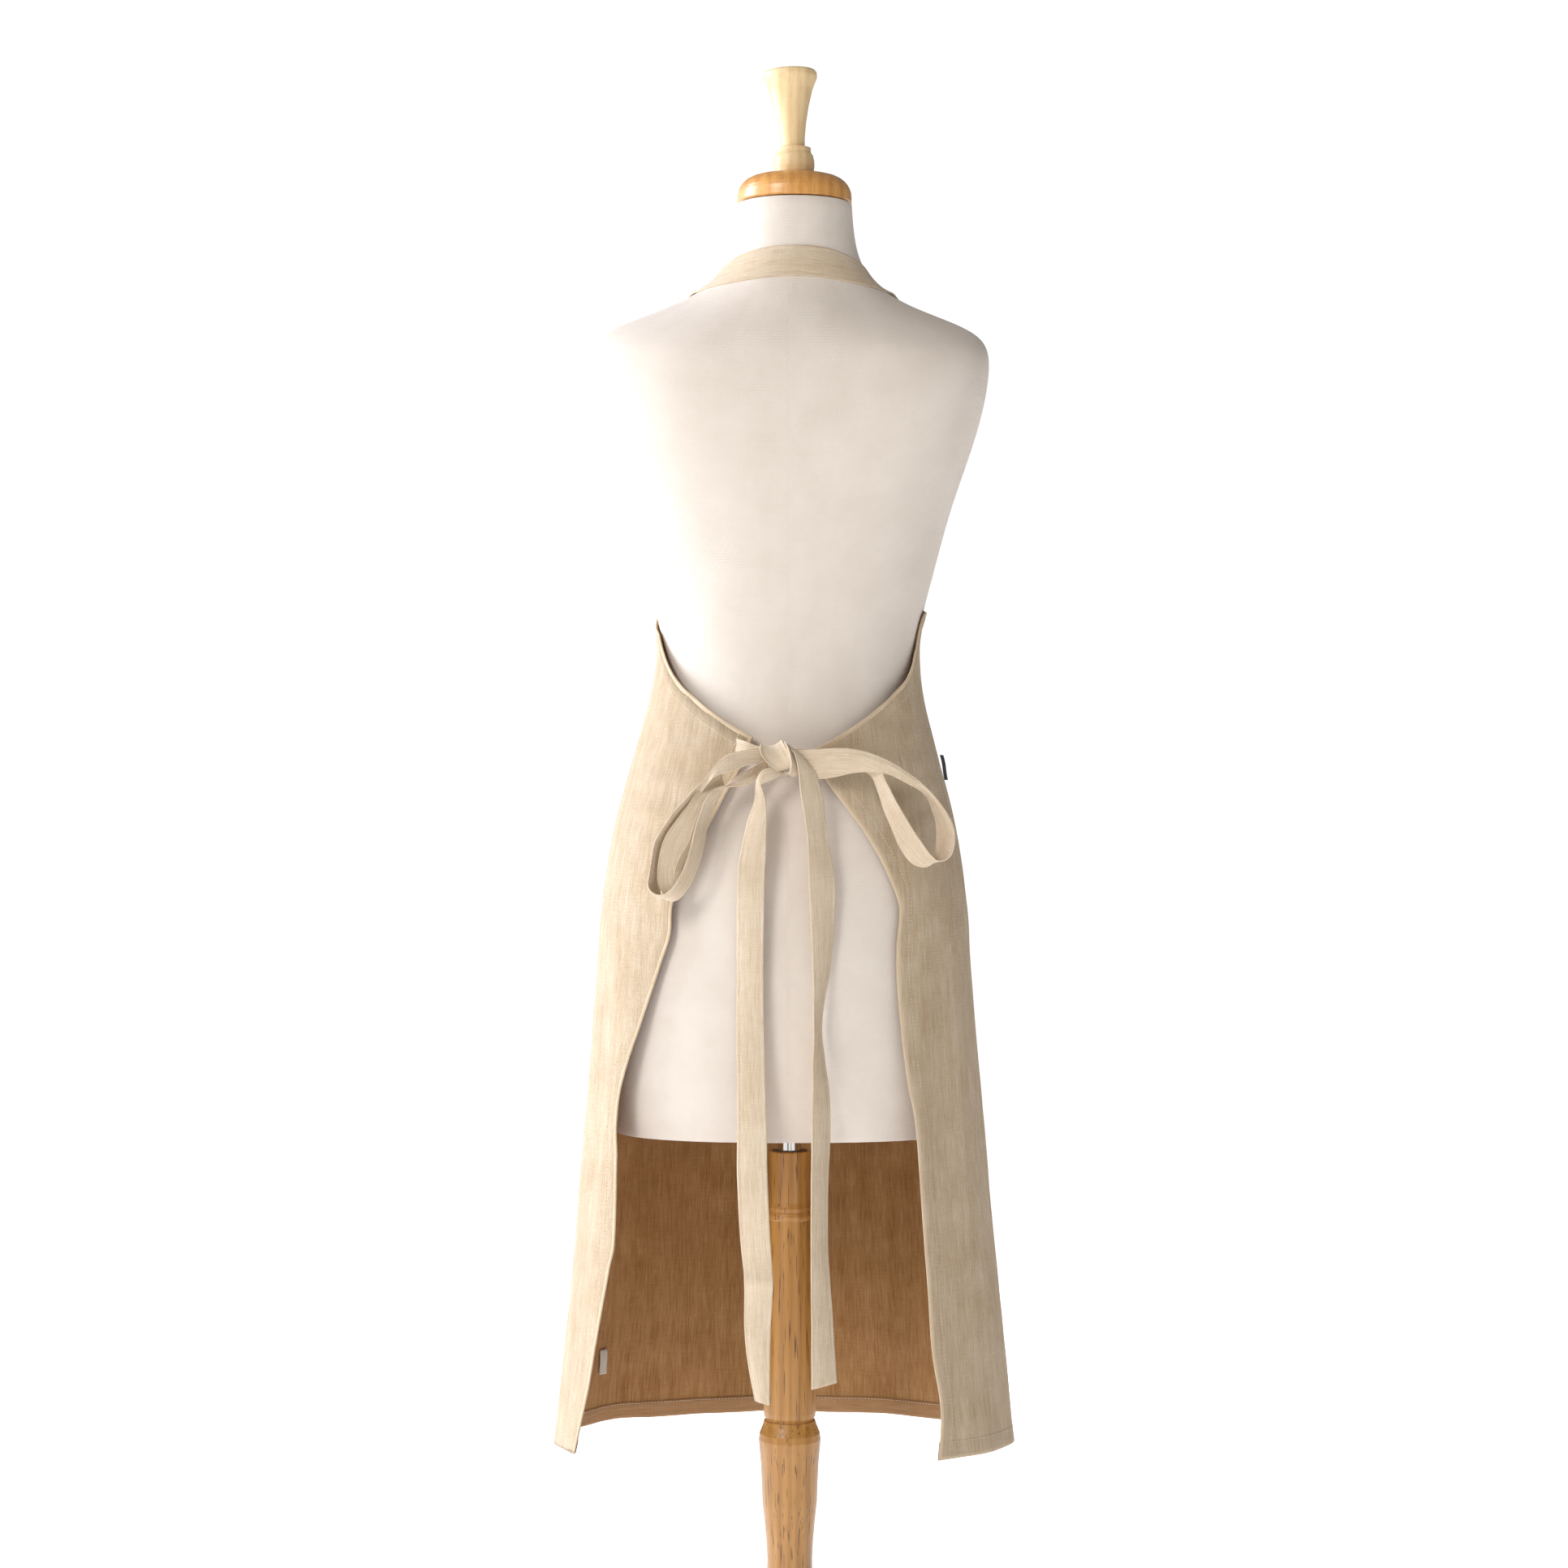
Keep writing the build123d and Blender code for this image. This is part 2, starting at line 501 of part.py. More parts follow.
def main():
    os.makedirs("parts", exist_ok=True)
    body = torso_body()
    lining = torso_body(-COVER_THICK)
    mould = torso_body(-COVER_THICK - GLUE)
    inside = torso_body(-COVER_THICK - GLUE - SHELL_THICK)
    outer_tube, inner_tube = sheet_tube(CLOTH), sheet_tube(0.0)
    knot = make_knot()
    parts = {
        "column_lower": make_column_lower(),
        "column_upper": make_column_upper(),
        "leg_dowels": make_dowels(),
        "foot_glides": make_glides(),
        "rod_bush": make_bush(),
        "lock_insert": make_insert(),
        "lock_knob": make_lock_knob(),
        "height_rod": make_rod(),
        "rod_end_plug": make_end_plug(),
        "rod_cap": make_rod_cap(),
        "torso_cover": body - lining,
        "torso_shell": mould - inside,
        "base_board": make_board(),
        "swivel_socket": make_socket(),
        "socket_screws": make_screws(),
        "neck_plug": make_neck_plug(),
        "neck_cap": make_neck_cap(),
        "finial_stud": make_stud(),
        "finial": make_finial(),
        "apron_panel": make_apron_panel(outer_tube - inner_tube),
        "neck_strap": make_neck_strap(body),
        "tie_left": band(LEFT_STUB) + loop_band(LEFT_LOOP) + band(LEFT_TAIL) - knot,
        "tie_right": band(RIGHT_STUB) + loop_band(RIGHT_LOOP) + band(RIGHT_TAIL) - knot,
        "bow_knot": knot,
        "care_label": make_care_label(inner_tube),
        "side_tab": make_side_tab(outer_tube),
    }
    for number, angle in enumerate(LEG_ANGLES, 1):
        parts[f"leg_{number}"] = make_leg(angle)
    for name, shape in parts.items():
        export_step(shape, f"parts/{name}.step")
        print(name, len(shape.solids()), round(shape.volume))


if __name__ == "__main__":
    main()
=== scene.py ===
"""The looks of a linen apron on a dress form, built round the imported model."""
import math

import bpy
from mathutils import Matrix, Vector, noise
from mathutils.bvhtree import BVHTree


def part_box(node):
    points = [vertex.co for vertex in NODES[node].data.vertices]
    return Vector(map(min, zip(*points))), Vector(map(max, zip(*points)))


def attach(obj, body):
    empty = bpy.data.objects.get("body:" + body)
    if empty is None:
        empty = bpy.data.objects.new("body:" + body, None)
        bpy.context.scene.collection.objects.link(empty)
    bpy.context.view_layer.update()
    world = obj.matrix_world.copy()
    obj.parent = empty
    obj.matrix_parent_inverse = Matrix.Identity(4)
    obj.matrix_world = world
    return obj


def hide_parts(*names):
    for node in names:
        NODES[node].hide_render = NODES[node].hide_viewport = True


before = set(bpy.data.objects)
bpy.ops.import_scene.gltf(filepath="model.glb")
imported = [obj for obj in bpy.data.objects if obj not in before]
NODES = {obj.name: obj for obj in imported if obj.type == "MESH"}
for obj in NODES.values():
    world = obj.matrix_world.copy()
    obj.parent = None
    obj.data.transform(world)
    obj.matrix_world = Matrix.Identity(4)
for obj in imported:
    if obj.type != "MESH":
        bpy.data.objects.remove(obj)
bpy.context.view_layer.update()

MM = 0.001


# ---- small helpers ------------------------------------------------------------------------------
def srgb(r, g, b):
    """A linear colour from 0-255 display values."""
    def lin(v):
        v /= 255
        return v / 12.92 if v <= 0.04045 else ((v + 0.055) / 1.055) ** 2.4
    return (lin(r), lin(g), lin(b), 1.0)


def smooth(value, low, high):
    """0 at low, 1 at high, and a soft step between, which may also run downwards."""
    t = min(1.0, max(0.0, (value - low) / (high - low)))
    return t * t * (3 - 2 * t)


def mix(a, b, t):
    """The value a share t of the way from a to b."""
    return a + (b - a) * t


def hermite(table, x):
    """Every column of a table at x, by a smooth curve through its rows."""
    n = len(table)
    if x <= table[0][0]:
        return list(table[0][1:])
    if x >= table[-1][0]:
        return list(table[-1][1:])
    i = next(k for k in range(n - 1) if table[k][0] <= x <= table[k + 1][0])
    x0, x1 = table[i][0], table[i + 1][0]
    t = (x - x0) / (x1 - x0)
    out = []
    for c in range(1, len(table[0])):
        def slope(k):
            a, b = max(0, k - 1), min(n - 1, k + 1)
            return (table[b][c] - table[a][c]) / (table[b][0] - table[a][0])
        m0, m1 = slope(i) * (x1 - x0), slope(i + 1) * (x1 - x0)
        p0, p1 = table[i][c], table[i + 1][c]
        out.append((2 * t ** 3 - 3 * t ** 2 + 1) * p0 + (t ** 3 - 2 * t ** 2 + t) * m0
                   + (-2 * t ** 3 + 3 * t ** 2) * p1 + (t ** 3 - t ** 2) * m1)
    return out


def build(name, points, faces, uvs=None, mats=(), body="form", face_mats=None):
    """A mesh object from points in metres, with one UV pair per point."""
    mesh = bpy.data.meshes.new(name)
    mesh.from_pydata([tuple(p) for p in points], [], faces)
    if uvs:
        layer = mesh.uv_layers.new(name="cloth")
        for loop in mesh.loops:
            layer.data[loop.index].uv = uvs[loop.vertex_index]
    for m in mats:
        mesh.materials.append(m)
    if face_mats:
        mesh.polygons.foreach_set("material_index", face_mats)
    mesh.polygons.foreach_set("use_smooth", [True] * len(mesh.polygons))
    mesh.validate()
    obj = bpy.data.objects.new(name, mesh)
    bpy.context.scene.collection.objects.link(obj)
    if body:
        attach(obj, body)
    return obj


def grid_faces(rows, cols, wrap=False, base=0):
    """Four-sided faces over a grid of points kept row by row."""
    faces = []
    for r in range(rows - 1):
        low, high = base + r * cols, base + (r + 1) * cols
        for c in range(cols if wrap else cols - 1):
            d = (c + 1) % cols
            faces.append((low + c, low + d, high + d, high + c))
    return faces


def closed_faces(rows, cols):
    """Faces of a grid, of its twin right behind it, and of the rim that joins them."""
    front = grid_faces(rows, cols)
    count = rows * cols
    behind = [tuple(v + count for v in f[::-1]) for f in front]
    rim = list(range(cols)) + [r * cols + cols - 1 for r in range(1, rows)]
    rim += [(rows - 1) * cols + c for c in range(cols - 2, -1, -1)] + [r * cols for r in range(rows - 2, 0, -1)]
    edge = [(b, a, a + count, b + count) for a, b in zip(rim, rim[1:] + rim[:1])]
    return front, behind, edge


# ---- materials ----------------------------------------------------------------------------------
class Nodes:
    """A short way to write a material's nodes."""

    def __init__(self, name):
        self.mat = bpy.data.materials.new(name)
        self.mat.use_nodes = True
        self.tree = self.mat.node_tree
        self.tree.nodes.clear()

    def add(self, kind, inputs=None, **props):
        node = self.tree.nodes.new(kind)
        for key, value in props.items():
            setattr(node, key, value)
        for key, value in (inputs or {}).items():
            socket = node.inputs[key]
            if isinstance(value, bpy.types.NodeSocket):
                self.tree.links.new(value, socket)
            else:
                socket.default_value = value
        return node

    def coords(self, kind, scale):
        source = self.add("ShaderNodeTexCoord").outputs[kind]
        return self.add("ShaderNodeMapping", {"Vector": source, "Scale": scale}).outputs[0]

    def noise(self, vector, scale, detail, rough):
        return self.add("ShaderNodeTexNoise", {"Vector": vector, "Scale": scale, "Detail": detail,
                                               "Roughness": rough}).outputs["Fac"]

    def wave(self, vector, scale, distortion, direction, detail=2.0, detail_scale=2.0):
        return self.add("ShaderNodeTexWave", {"Vector": vector, "Scale": scale, "Distortion": distortion,
                                              "Detail": detail, "Detail Scale": detail_scale},
                        wave_type="BANDS", bands_direction=direction).outputs["Fac"]

    def ramp(self, value, *stops):
        node = self.add("ShaderNodeValToRGB", {"Fac": value})
        ramp = node.color_ramp
        while len(ramp.elements) < len(stops):
            ramp.elements.new(0.5)
        for element, (place, colour) in zip(ramp.elements, stops):
            element.position = place
            element.color = colour if len(colour) == 4 else (*colour, 1)
        return node.outputs["Color"]

    def math(self, operation, a, b):
        return self.add("ShaderNodeMath", {0: a, 1: b}, operation=operation).outputs[0]

    def blend(self, factor, a, b, mode="MIX"):
        node = self.add("ShaderNodeMix", data_type="RGBA", blend_type=mode)
        for socket, value in ((node.inputs[0], factor), (node.inputs[6], a), (node.inputs[7], b)):
            if isinstance(value, bpy.types.NodeSocket):
                self.tree.links.new(value, socket)
            else:
                socket.default_value = value
        return node.outputs[2]

    def bump(self, height, strength, distance):
        return self.add("ShaderNodeBump", {"Height": height, "Strength": strength, "Distance": distance}).outputs[0]

    def out(self, surface):
        self.add("ShaderNodeOutputMaterial", {"Surface": surface})
        return self.mat


SHINE_THROUGH = (0.7, 0.42, 0.17, 1)
WHOLE = (1, 1, 1)


def linen(name, base, light, dark, through=0.0, streaks=0.5):
    """Plain-woven linen: fine uneven threads, mostly seen lengthwise, small pale slubs and a soft mottle.

    The UVs are in metres. A share of the light, through, shines through the cloth."""
    n = Nodes(name)
    uv = n.coords("UV", WHOLE)
    slub_v = n.noise(n.coords("UV", (800, 34, 1)), 1.0, 4, 0.7)
    slub_u = n.noise(n.coords("UV", (60, 720, 1)), 1.0, 4, 0.7)
    broad = n.noise(n.coords("UV", (90, 5, 1)), 1.0, 3, 0.6)
    mottle = n.noise(uv, 22, 4, 0.6)
    grain = n.noise(uv, 1300, 2, 0.6)
    warp = n.wave(uv, 230, 1.6, "X")
    weft = n.wave(uv, 230, 1.6, "Y")
    weave = n.math("MULTIPLY", warp, weft)
    streak = n.math("ADD", n.math("MULTIPLY", slub_v, 0.76), n.math("MULTIPLY", slub_u, 0.24))
    tone = n.ramp(streak, (0.38, dark), (0.5, base), (0.61, light))
    tone = n.blend(1 - streaks, tone, base)
    tone = n.blend(0.3 * streaks, tone, n.ramp(broad, (0.35, dark), (0.65, light)))
    tone = n.blend(0.2, tone, n.ramp(mottle, (0.35, dark), (0.65, light)))
    tone = n.blend(n.math("MULTIPLY", grain, 0.36), tone, dark)
    spots = n.noise(n.coords("UV", (420, 120, 1)), 1.0, 3, 0.7)
    fleck = n.ramp(spots, (0.66, (0, 0, 0)), (0.74, (1, 1, 1)))
    tone = n.blend(n.math("MULTIPLY", fleck, 0.8), tone, light)
    height = n.math("ADD", n.math("MULTIPLY", weave, 0.3), n.math("MULTIPLY", streak, 1.0))
    height = n.math("ADD", height, n.math("MULTIPLY", grain, 0.4))
    normal = n.bump(height, 0.6, 0.001)
    shader = n.add("ShaderNodeBsdfPrincipled", {
        "Base Color": tone, "Roughness": n.math("ADD", n.math("MULTIPLY", streak, 0.2), 0.72), "Normal": normal,
        "Specular IOR Level": 0.25, "Sheen Weight": 0.12, "Sheen Roughness": 0.5}).outputs[0]
    if through:
        tint = n.blend(1.0, tone, SHINE_THROUGH, "MULTIPLY")
        glow = n.add("ShaderNodeBsdfTranslucent", {"Color": tint, "Normal": normal})
        shader = n.add("ShaderNodeMixShader", {0: through, 1: shader, 2: glow.outputs[0]}).outputs[0]
    return n.out(shader)


def jersey(name):
    """Tight cotton jersey stretched over the form."""
    n = Nodes(name)
    place = n.coords("UV", WHOLE)
    ribs = n.wave(place, 260, 0.8, "X")
    rows = n.wave(place, 200, 0.8, "Y")
    mottle = n.noise(place, 18, 4, 0.55)
    fine = n.noise(place, 700, 2, 0.6)
    tone = n.ramp(mottle, (0.3, srgb(225, 214, 203)), (0.7, srgb(234, 224, 214)))
    tone = n.blend(n.math("MULTIPLY", fine, 0.16), tone, srgb(205, 192, 182))
    height = n.math("ADD", n.math("MULTIPLY", ribs, rows), n.math("MULTIPLY", fine, 0.6))
    return n.out(n.add("ShaderNodeBsdfPrincipled", {
        "Base Color": tone, "Roughness": n.math("ADD", n.math("MULTIPLY", fine, 0.15), 0.75),
        "Normal": n.bump(height, 0.35, 0.0006), "Specular IOR Level": 0.2, "Sheen Weight": 0.15,
        "Sheen Roughness": 0.45}).outputs[0])


def timber(name, light, mid, dark, pore, pore_amount, gloss, coat):
    """Turned wood with long grain along Z, growth bands and some dark pores."""
    n = Nodes(name)
    grain = n.noise(n.coords("Object", (170, 170, 5.72)), 1.0, 5, 0.62)
    drift = n.noise(n.coords("Object", (16, 16, 1.6)), 1.0, 3, 0.5)
    growth = n.wave(n.coords("Object", (60, 34, 2.2)), 0.55, 5.0, "X", 3, 1.4)
    tone = n.ramp(grain, (0.30, dark), (0.5, mid), (0.72, light))
    tone = n.blend(0.42, tone, n.ramp(growth, (0.1, dark), (0.5, mid), (0.9, light)))
    tone = n.blend(0.3, tone, n.ramp(drift, (0.3, mid), (0.7, light)))
    specks = n.noise(n.coords("Object", (620, 620, 26)), 1.0, 2, 0.5)
    mask = n.ramp(specks, (0.60, (0, 0, 0)), (0.67, (1, 1, 1)))
    tone = n.blend(n.math("MULTIPLY", mask, pore_amount), tone, pore)
    height = n.math("SUBTRACT", n.math("MULTIPLY", grain, 0.5), n.math("MULTIPLY", mask, pore_amount))
    return n.out(n.add("ShaderNodeBsdfPrincipled", {
        "Base Color": tone, "Roughness": n.math("ADD", n.math("MULTIPLY", grain, 0.16), gloss),
        "Normal": n.bump(height, 0.25, 0.0008), "Coat Weight": coat, "Coat Roughness": 0.25}).outputs[0])


def darker(colour, share):
    return tuple(c * share for c in colour[:3]) + (1,)


def metal(name, colour, roughness):
    """Bare metal with fine turning lines and a faint smear."""
    n = Nodes(name)
    lines = n.noise(n.coords("Object", (900, 900, 30)), 1.0, 3, 0.6)
    smear = n.noise(n.coords("Object", (30, 30, 30)), 1.0, 3, 0.5)
    rough = n.math("ADD", n.math("MULTIPLY", n.math("MULTIPLY", lines, smear), 0.25), roughness)
    tone = n.blend(n.math("MULTIPLY", smear, 0.25), colour, darker(colour, 0.8))
    return n.out(n.add("ShaderNodeBsdfPrincipled", {
        "Base Color": tone, "Metallic": 1.0, "Roughness": rough, "Normal": n.bump(lines, 0.08, 0.0003)}).outputs[0])


def plastic(name, colour, roughness):
    """Moulded plastic or pressed board with a fine grain."""
    n = Nodes(name)
    fine = n.noise(n.coords("Object", (900, 900, 900)), 1.0, 3, 0.6)
    soft = n.noise(n.coords("Object", (40, 40, 40)), 1.0, 3, 0.5)
    worn = tuple(min(1, c * 1.5 + 0.01) for c in colour[:3]) + (1,)
    tone = n.blend(n.math("MULTIPLY", soft, 0.3), colour, worn)
    return n.out(n.add("ShaderNodeBsdfPrincipled", {
        "Base Color": tone, "Roughness": n.math("ADD", n.math("MULTIPLY", fine, 0.2), roughness),
        "Normal": n.bump(fine, 0.2, 0.0004)}).outputs[0])


LINEN = linen("linen_sheet", srgb(219, 197, 166), srgb(243, 229, 206), srgb(184, 155, 119),
              through=0.18, streaks=0.8)
# The inside face of the sheet: the same linen as the front, made darker and browner as painted shade for the
# inside, where little light falls.
LINEN_INSIDE_PAINTED_SHADE = linen("linen_inside_painted_shade", srgb(180, 136, 84), srgb(208, 168, 118), srgb(138, 94, 48),
                     through=0.2, streaks=0.95)
# The turned layer of the hems on the inside: the same linen, made darker and browner as painted shade inside the
# folds.
LINEN_HEM_PAINTED_SHADE = linen("linen_hem_painted_shade", srgb(170, 132, 92), srgb(192, 156, 118), srgb(142, 104, 68),
                  through=0.03)
# The rolled edges and the strip beside them: the same linen, made a little lighter as a painted highlight where the
# folds catch the light.
LINEN_EDGE_PAINTED_HIGHLIGHT = linen("linen_edge_painted_highlight", srgb(224, 203, 174), srgb(240, 225, 201), srgb(198, 172, 138),
                   streaks=0.5)
LINEN_TIE = linen("linen_tie", srgb(224, 205, 179), srgb(245, 233, 214), srgb(190, 165, 133),
                  through=0.03, streaks=0.65)
THREAD = linen("linen_thread", srgb(238, 225, 202), srgb(248, 240, 224), srgb(216, 198, 168))
JERSEY = jersey("jersey_cover")
OAK = timber("oak_stand", srgb(198, 148, 80), srgb(175, 124, 60), srgb(146, 97, 40), srgb(88, 54, 24),
             0.8, 0.36, 0.35)
MAPLE = timber("maple_finial", srgb(240, 214, 168), srgb(231, 200, 150), srgb(214, 178, 126), srgb(180, 140, 90),
               0.15, 0.42, 0.2)
AMBER = timber("amber_cap", srgb(226, 170, 98), srgb(212, 152, 80), srgb(190, 126, 60), srgb(150, 92, 40),
               0.3, 0.32, 0.5)
PLAIN_WOOD = timber("plain_wood", srgb(214, 184, 140), srgb(200, 168, 122), srgb(178, 144, 98), srgb(140, 104, 66),
                    0.3, 0.6, 0.0)
CHROME = metal("chrome", srgb(226, 226, 228), 0.06)
STEEL = metal("steel", srgb(190, 190, 188), 0.32)
BRASS = metal("brass", srgb(212, 170, 92), 0.3)
DARK_PLASTIC = plastic("dark_plastic", srgb(46, 38, 32), 0.4)
SHELL = plastic("pressed_shell", srgb(214, 206, 196), 0.6)
LABEL_CLOTH = linen("label_tape", srgb(196, 188, 176), srgb(216, 210, 200), srgb(168, 160, 148))
TAB_CLOTH = linen("tab_tape", srgb(30, 25, 23), srgb(46, 40, 36), srgb(18, 15, 14))
FELT = linen("felt", srgb(92, 72, 58), srgb(112, 92, 76), srgb(66, 50, 40))

CARRIED = {
    "column_lower": OAK, "column_upper": OAK, "leg_1": OAK, "leg_2": OAK, "leg_3": OAK, "leg_dowels": PLAIN_WOOD,
    "foot_glides": FELT, "rod_bush": DARK_PLASTIC, "lock_insert": BRASS, "lock_knob": DARK_PLASTIC,
    "height_rod": CHROME, "rod_end_plug": DARK_PLASTIC, "rod_cap": STEEL, "torso_shell": SHELL,
    "base_board": PLAIN_WOOD, "swivel_socket": STEEL, "socket_screws": STEEL, "neck_plug": PLAIN_WOOD,
    "neck_cap": AMBER, "finial_stud": STEEL, "finial": MAPLE,
}
for node_name, node_mat in CARRIED.items():
    mesh_data = NODES[node_name].data
    mesh_data.materials.clear()
    mesh_data.materials.append(node_mat)
    mesh_data.polygons.foreach_set("material_index", [0] * len(mesh_data.polygons))


# ---- form cover ---------------------------------------------------------------------------------
def surface_of(node):
    """A search tree of a CAD node's faces."""
    data = NODES[node].data
    return BVHTree.FromPolygons([v.co.copy() for v in data.vertices], [tuple(p.vertices) for p in data.polygons])


COVER_TREE = surface_of("torso_cover")
COVER_LOW, COVER_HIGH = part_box("torso_cover")
COVER_LIFT = 0.0004
# spacing of the cover's rings in metres, closer over the shoulders, and where the shoulders are
COVER_STEP, SHOULDER_STEP = 0.006, 0.0022
SHOULDER_LOW, SHOULDER_HIGH = 1.365, 1.47
# how far the cover is drawn in, and its rise in metres, at the steps of its turned edges
FOOT_TURN = ((0.90, -0.0004), (0.955, -0.0010), (0.985, -0.0010), (0.997, -0.0005))
NECK_TURN = ((0.992, 0.0006), (0.975, 0.0010), (0.94, 0.0010))


def outer_hit(angle, z, centre):
    """The farthest point of the cover from an inner axis, at a height and a direction."""
    way = Vector((math.sin(angle), -math.cos(angle), 0))
    start = Vector((centre[0], centre[1], z)) + way * 0.6
    return COVER_TREE.ray_cast(start, -way, 0.6)[0]


def make_cover():
    """The jersey cover: a smooth sleeve over the shell, turned in under the foot and at the neck."""
    cols = 240
    heights = [COVER_LOW.z + 0.0005]
    step = COVER_STEP
    while heights[-1] + step < COVER_HIGH.z - 0.001:
        step = SHOULDER_STEP if SHOULDER_LOW < heights[-1] < SHOULDER_HIGH else COVER_STEP
        heights.append(heights[-1] + step)
    heights[-1] = COVER_HIGH.z - 0.0008
    rings = []
    for z in heights:
        lean = smooth(z, 1.40, 1.5)
        middle = (0.005 * lean, 0.004 * lean)
        rings.append([outer_hit(2 * math.pi * c / cols, z, middle) for c in range(cols)])
    for _ in range(3):
        rings = [ring if r in (0, len(rings) - 1) else [
            ring[c] * 0.4 + (ring[c - 1] + ring[(c + 1) % cols] + rings[r - 1][c] + rings[r + 1][c]) * 0.15
            for c in range(cols)] for r, ring in enumerate(rings)]
    lifted = []
    for r, ring in enumerate(rings):
        row = []
        for c in range(cols):
            across = ring[(c + 1) % cols] - ring[c - 1]
            up = rings[min(r + 1, len(rings) - 1)][c] - rings[max(r - 1, 0)][c]
            row.append(ring[c] + across.cross(up).normalized() * COVER_LIFT)
        lifted.append(row)

    def turned_in(ring, middle, steps):
        """Copies of a ring drawn in towards a middle."""
        return [[Vector((mix(middle[0], p.x, share), mix(middle[1], p.y, share), p.z + dz)) for p in ring]
                for share, dz in steps]
    neck = lifted[-1]
    neck_mid = (sum(p.x for p in neck) / cols, sum(p.y for p in neck) / cols)
    rings = turned_in(lifted[0], (0, 0), FOOT_TURN) + lifted + turned_in(neck, neck_mid, NECK_TURN)
    points = [p for ring in rings for p in ring]
    uvs, run = [], 0.0
    for r, ring in enumerate(rings):
        if r:
            run += (ring[0] - rings[r - 1][0]).length
        for c in range(cols):
            uvs.append((c / cols * 0.95, run))
    cover = build("jersey_cover", points, grid_faces(len(rings), cols, wrap=True), uvs, [JERSEY], "form")
    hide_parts("torso_cover")
    return cover


# ---- apron --------------------------------------------------------------------------------------
# height, half width, depth behind, depth in front, squareness, middle in x (mm)
SKIRT = (
    (330, 218, 158, 168, 2.1, -5.5), (420, 208.5, 150, 158, 2.1, -5.5), (540, 197, 141, 145, 2.15, -5.5),
    (660, 186.5, 132, 131, 2.2, -5.5), (780, 177, 125, 120, 2.2, -5.5), (860, 171, 120, 112, 2.2, -5.2),
    (930, 160, 109, 105, 2.15, -4.4), (1000, 141.5, 97, 100, 2.1, -3.4), (1040, 131, 91, 98, 2.1, -2.8),
    (1075, 124.5, 88, 100, 2.12, -1.8), (1105, 123.5, 88, 104, 2.15, -0.8), (1135, 130, 91, 110, 2.22, -0.3),
    (1170, 144, 94, 118, 2.3, 0), (1215, 160, 98, 129, 2.45, 0), (1255, 172, 101, 127, 2.55, 0),
    (1300, 188, 104, 113, 2.65, 0), (1345, 198, 104, 98, 2.65, 0),
)
CLOTH = 0.9        # thickness of the linen
FORM_GAP = 2.4     # least distance from the form
AROUND = 110.0     # mm of cloth for one radian of turn, near enough to space points evenly
SIDE_TURN = 1.55   # the turn at which a wing's top edge passes the side
# x and height of the wings' upper edges, from the side to the corner where a tie is sewn on
WING_L = ((-123, 1111), (-119, 1097), (-106, 1068), (-82, 1044), (-50, 1021), (-34, 1012))
WING_R = ((126, 1129), (118, 1098), (110, 1071), (96, 1053), (70, 1030), (33, 1006), (20, 1000))
# x and height of the back opening's edges, from the tie down to the hem
OPEN_L = ((-37, 1002), (-72, 934), (-106, 862), (-109, 831), (-118, 804), (-137, 746), (-153, 694), (-158, 655),
          (-157, 625), (-159, 545), (-163, 526), (-173, 470), (-184, 409), (-198, 347))
OPEN_R = ((23, 993), (33, 972), (62, 933), (83, 899), (97, 867), (100, 853), (97, 820), (98, 775), (106, 700),
          (113, 662), (118, 598), (125, 510), (129, 449), (136, 406), (137, 386), (134, 352))
BIB_HALF, BIB_TOP = 117.0, 1337.0
HEM_LEVEL, HEM_SLOPE = 348.0, 9.5 / 160
# where a wing's top edge passes the side, and the bib's edge from there up, x and height in front
SIDE_TOPS = {-1: 1117.0, 1: 1131.0}
ARMHOLE = ((123, 1142), (120, 1162), (118.5, 1195), (117.5, 1245), (BIB_HALF, BIB_TOP))


def turn_at(x, z, back=True):
    """The turn round the apron, 0 in front and pi behind, where it stands at x (mm)."""
    half, _, _, power, middle = hermite(SKIRT, z)
    share = min(1.0, abs(x - middle) / half) ** (power / 2)
    turn = math.asin(share)
    return math.copysign(math.pi - turn if back else turn, x - middle)


def apron_base(turn, z):
    """A point of the smooth apron, without folds, at a turn and a height."""
    half, behind, front, power, middle = hermite(SKIRT, z)
    s, c = math.sin(turn), math.cos(turn)
    x = half * math.copysign(abs(s) ** (2 / power), s) + middle
    y = (front if c > 0 else behind) * math.copysign(abs(c) ** (2 / power), c)
    return Vector((x, y, z))


def apron_normal(turn, z):
    """The outward normal of the smooth apron."""
    e, h = 0.004, 1.0
    across = apron_base(turn + e, z) - apron_base(turn - e, z)
    up = apron_base(turn, z + h) - apron_base(turn, z - h)
    out = across.cross(up).normalized()
    here = apron_base(turn, z)
    return out if out.x * here.x + out.y * here.y > 0 else -out


def folds(turn, z):
    """Soft standing waves of the hanging skirt, and small pulls towards the ties (mm)."""
    low = smooth(z, 1010, 420)
    wave = 1.9 * low * math.sin(5.0 * turn + 0.7) + 1.2 * low * math.sin(9.0 * turn + 2.1 + z * 0.0016)
    wave += 0.8 * low * math.sin(15.0 * turn + 0.004 * z)
    wander = noise.noise(Vector((turn * 3.2, z * 0.007, 4.0))) * 2.2 * mix(0.35, 1.0, low)
    fine = noise.noise(Vector((turn * 14, z * 0.03, 9.0))) * 0.45
    back = smooth(abs(turn), 1.75, 2.5)
    pull = math.exp(-((z - 1000) / 95) ** 2) * back
    pulls = pull * 0.9 * math.sin((z - 1000) * 0.055 * (1.2 + 3.2 * (math.pi - abs(turn))) + turn * 2)
    return wave + wander + fine + pulls


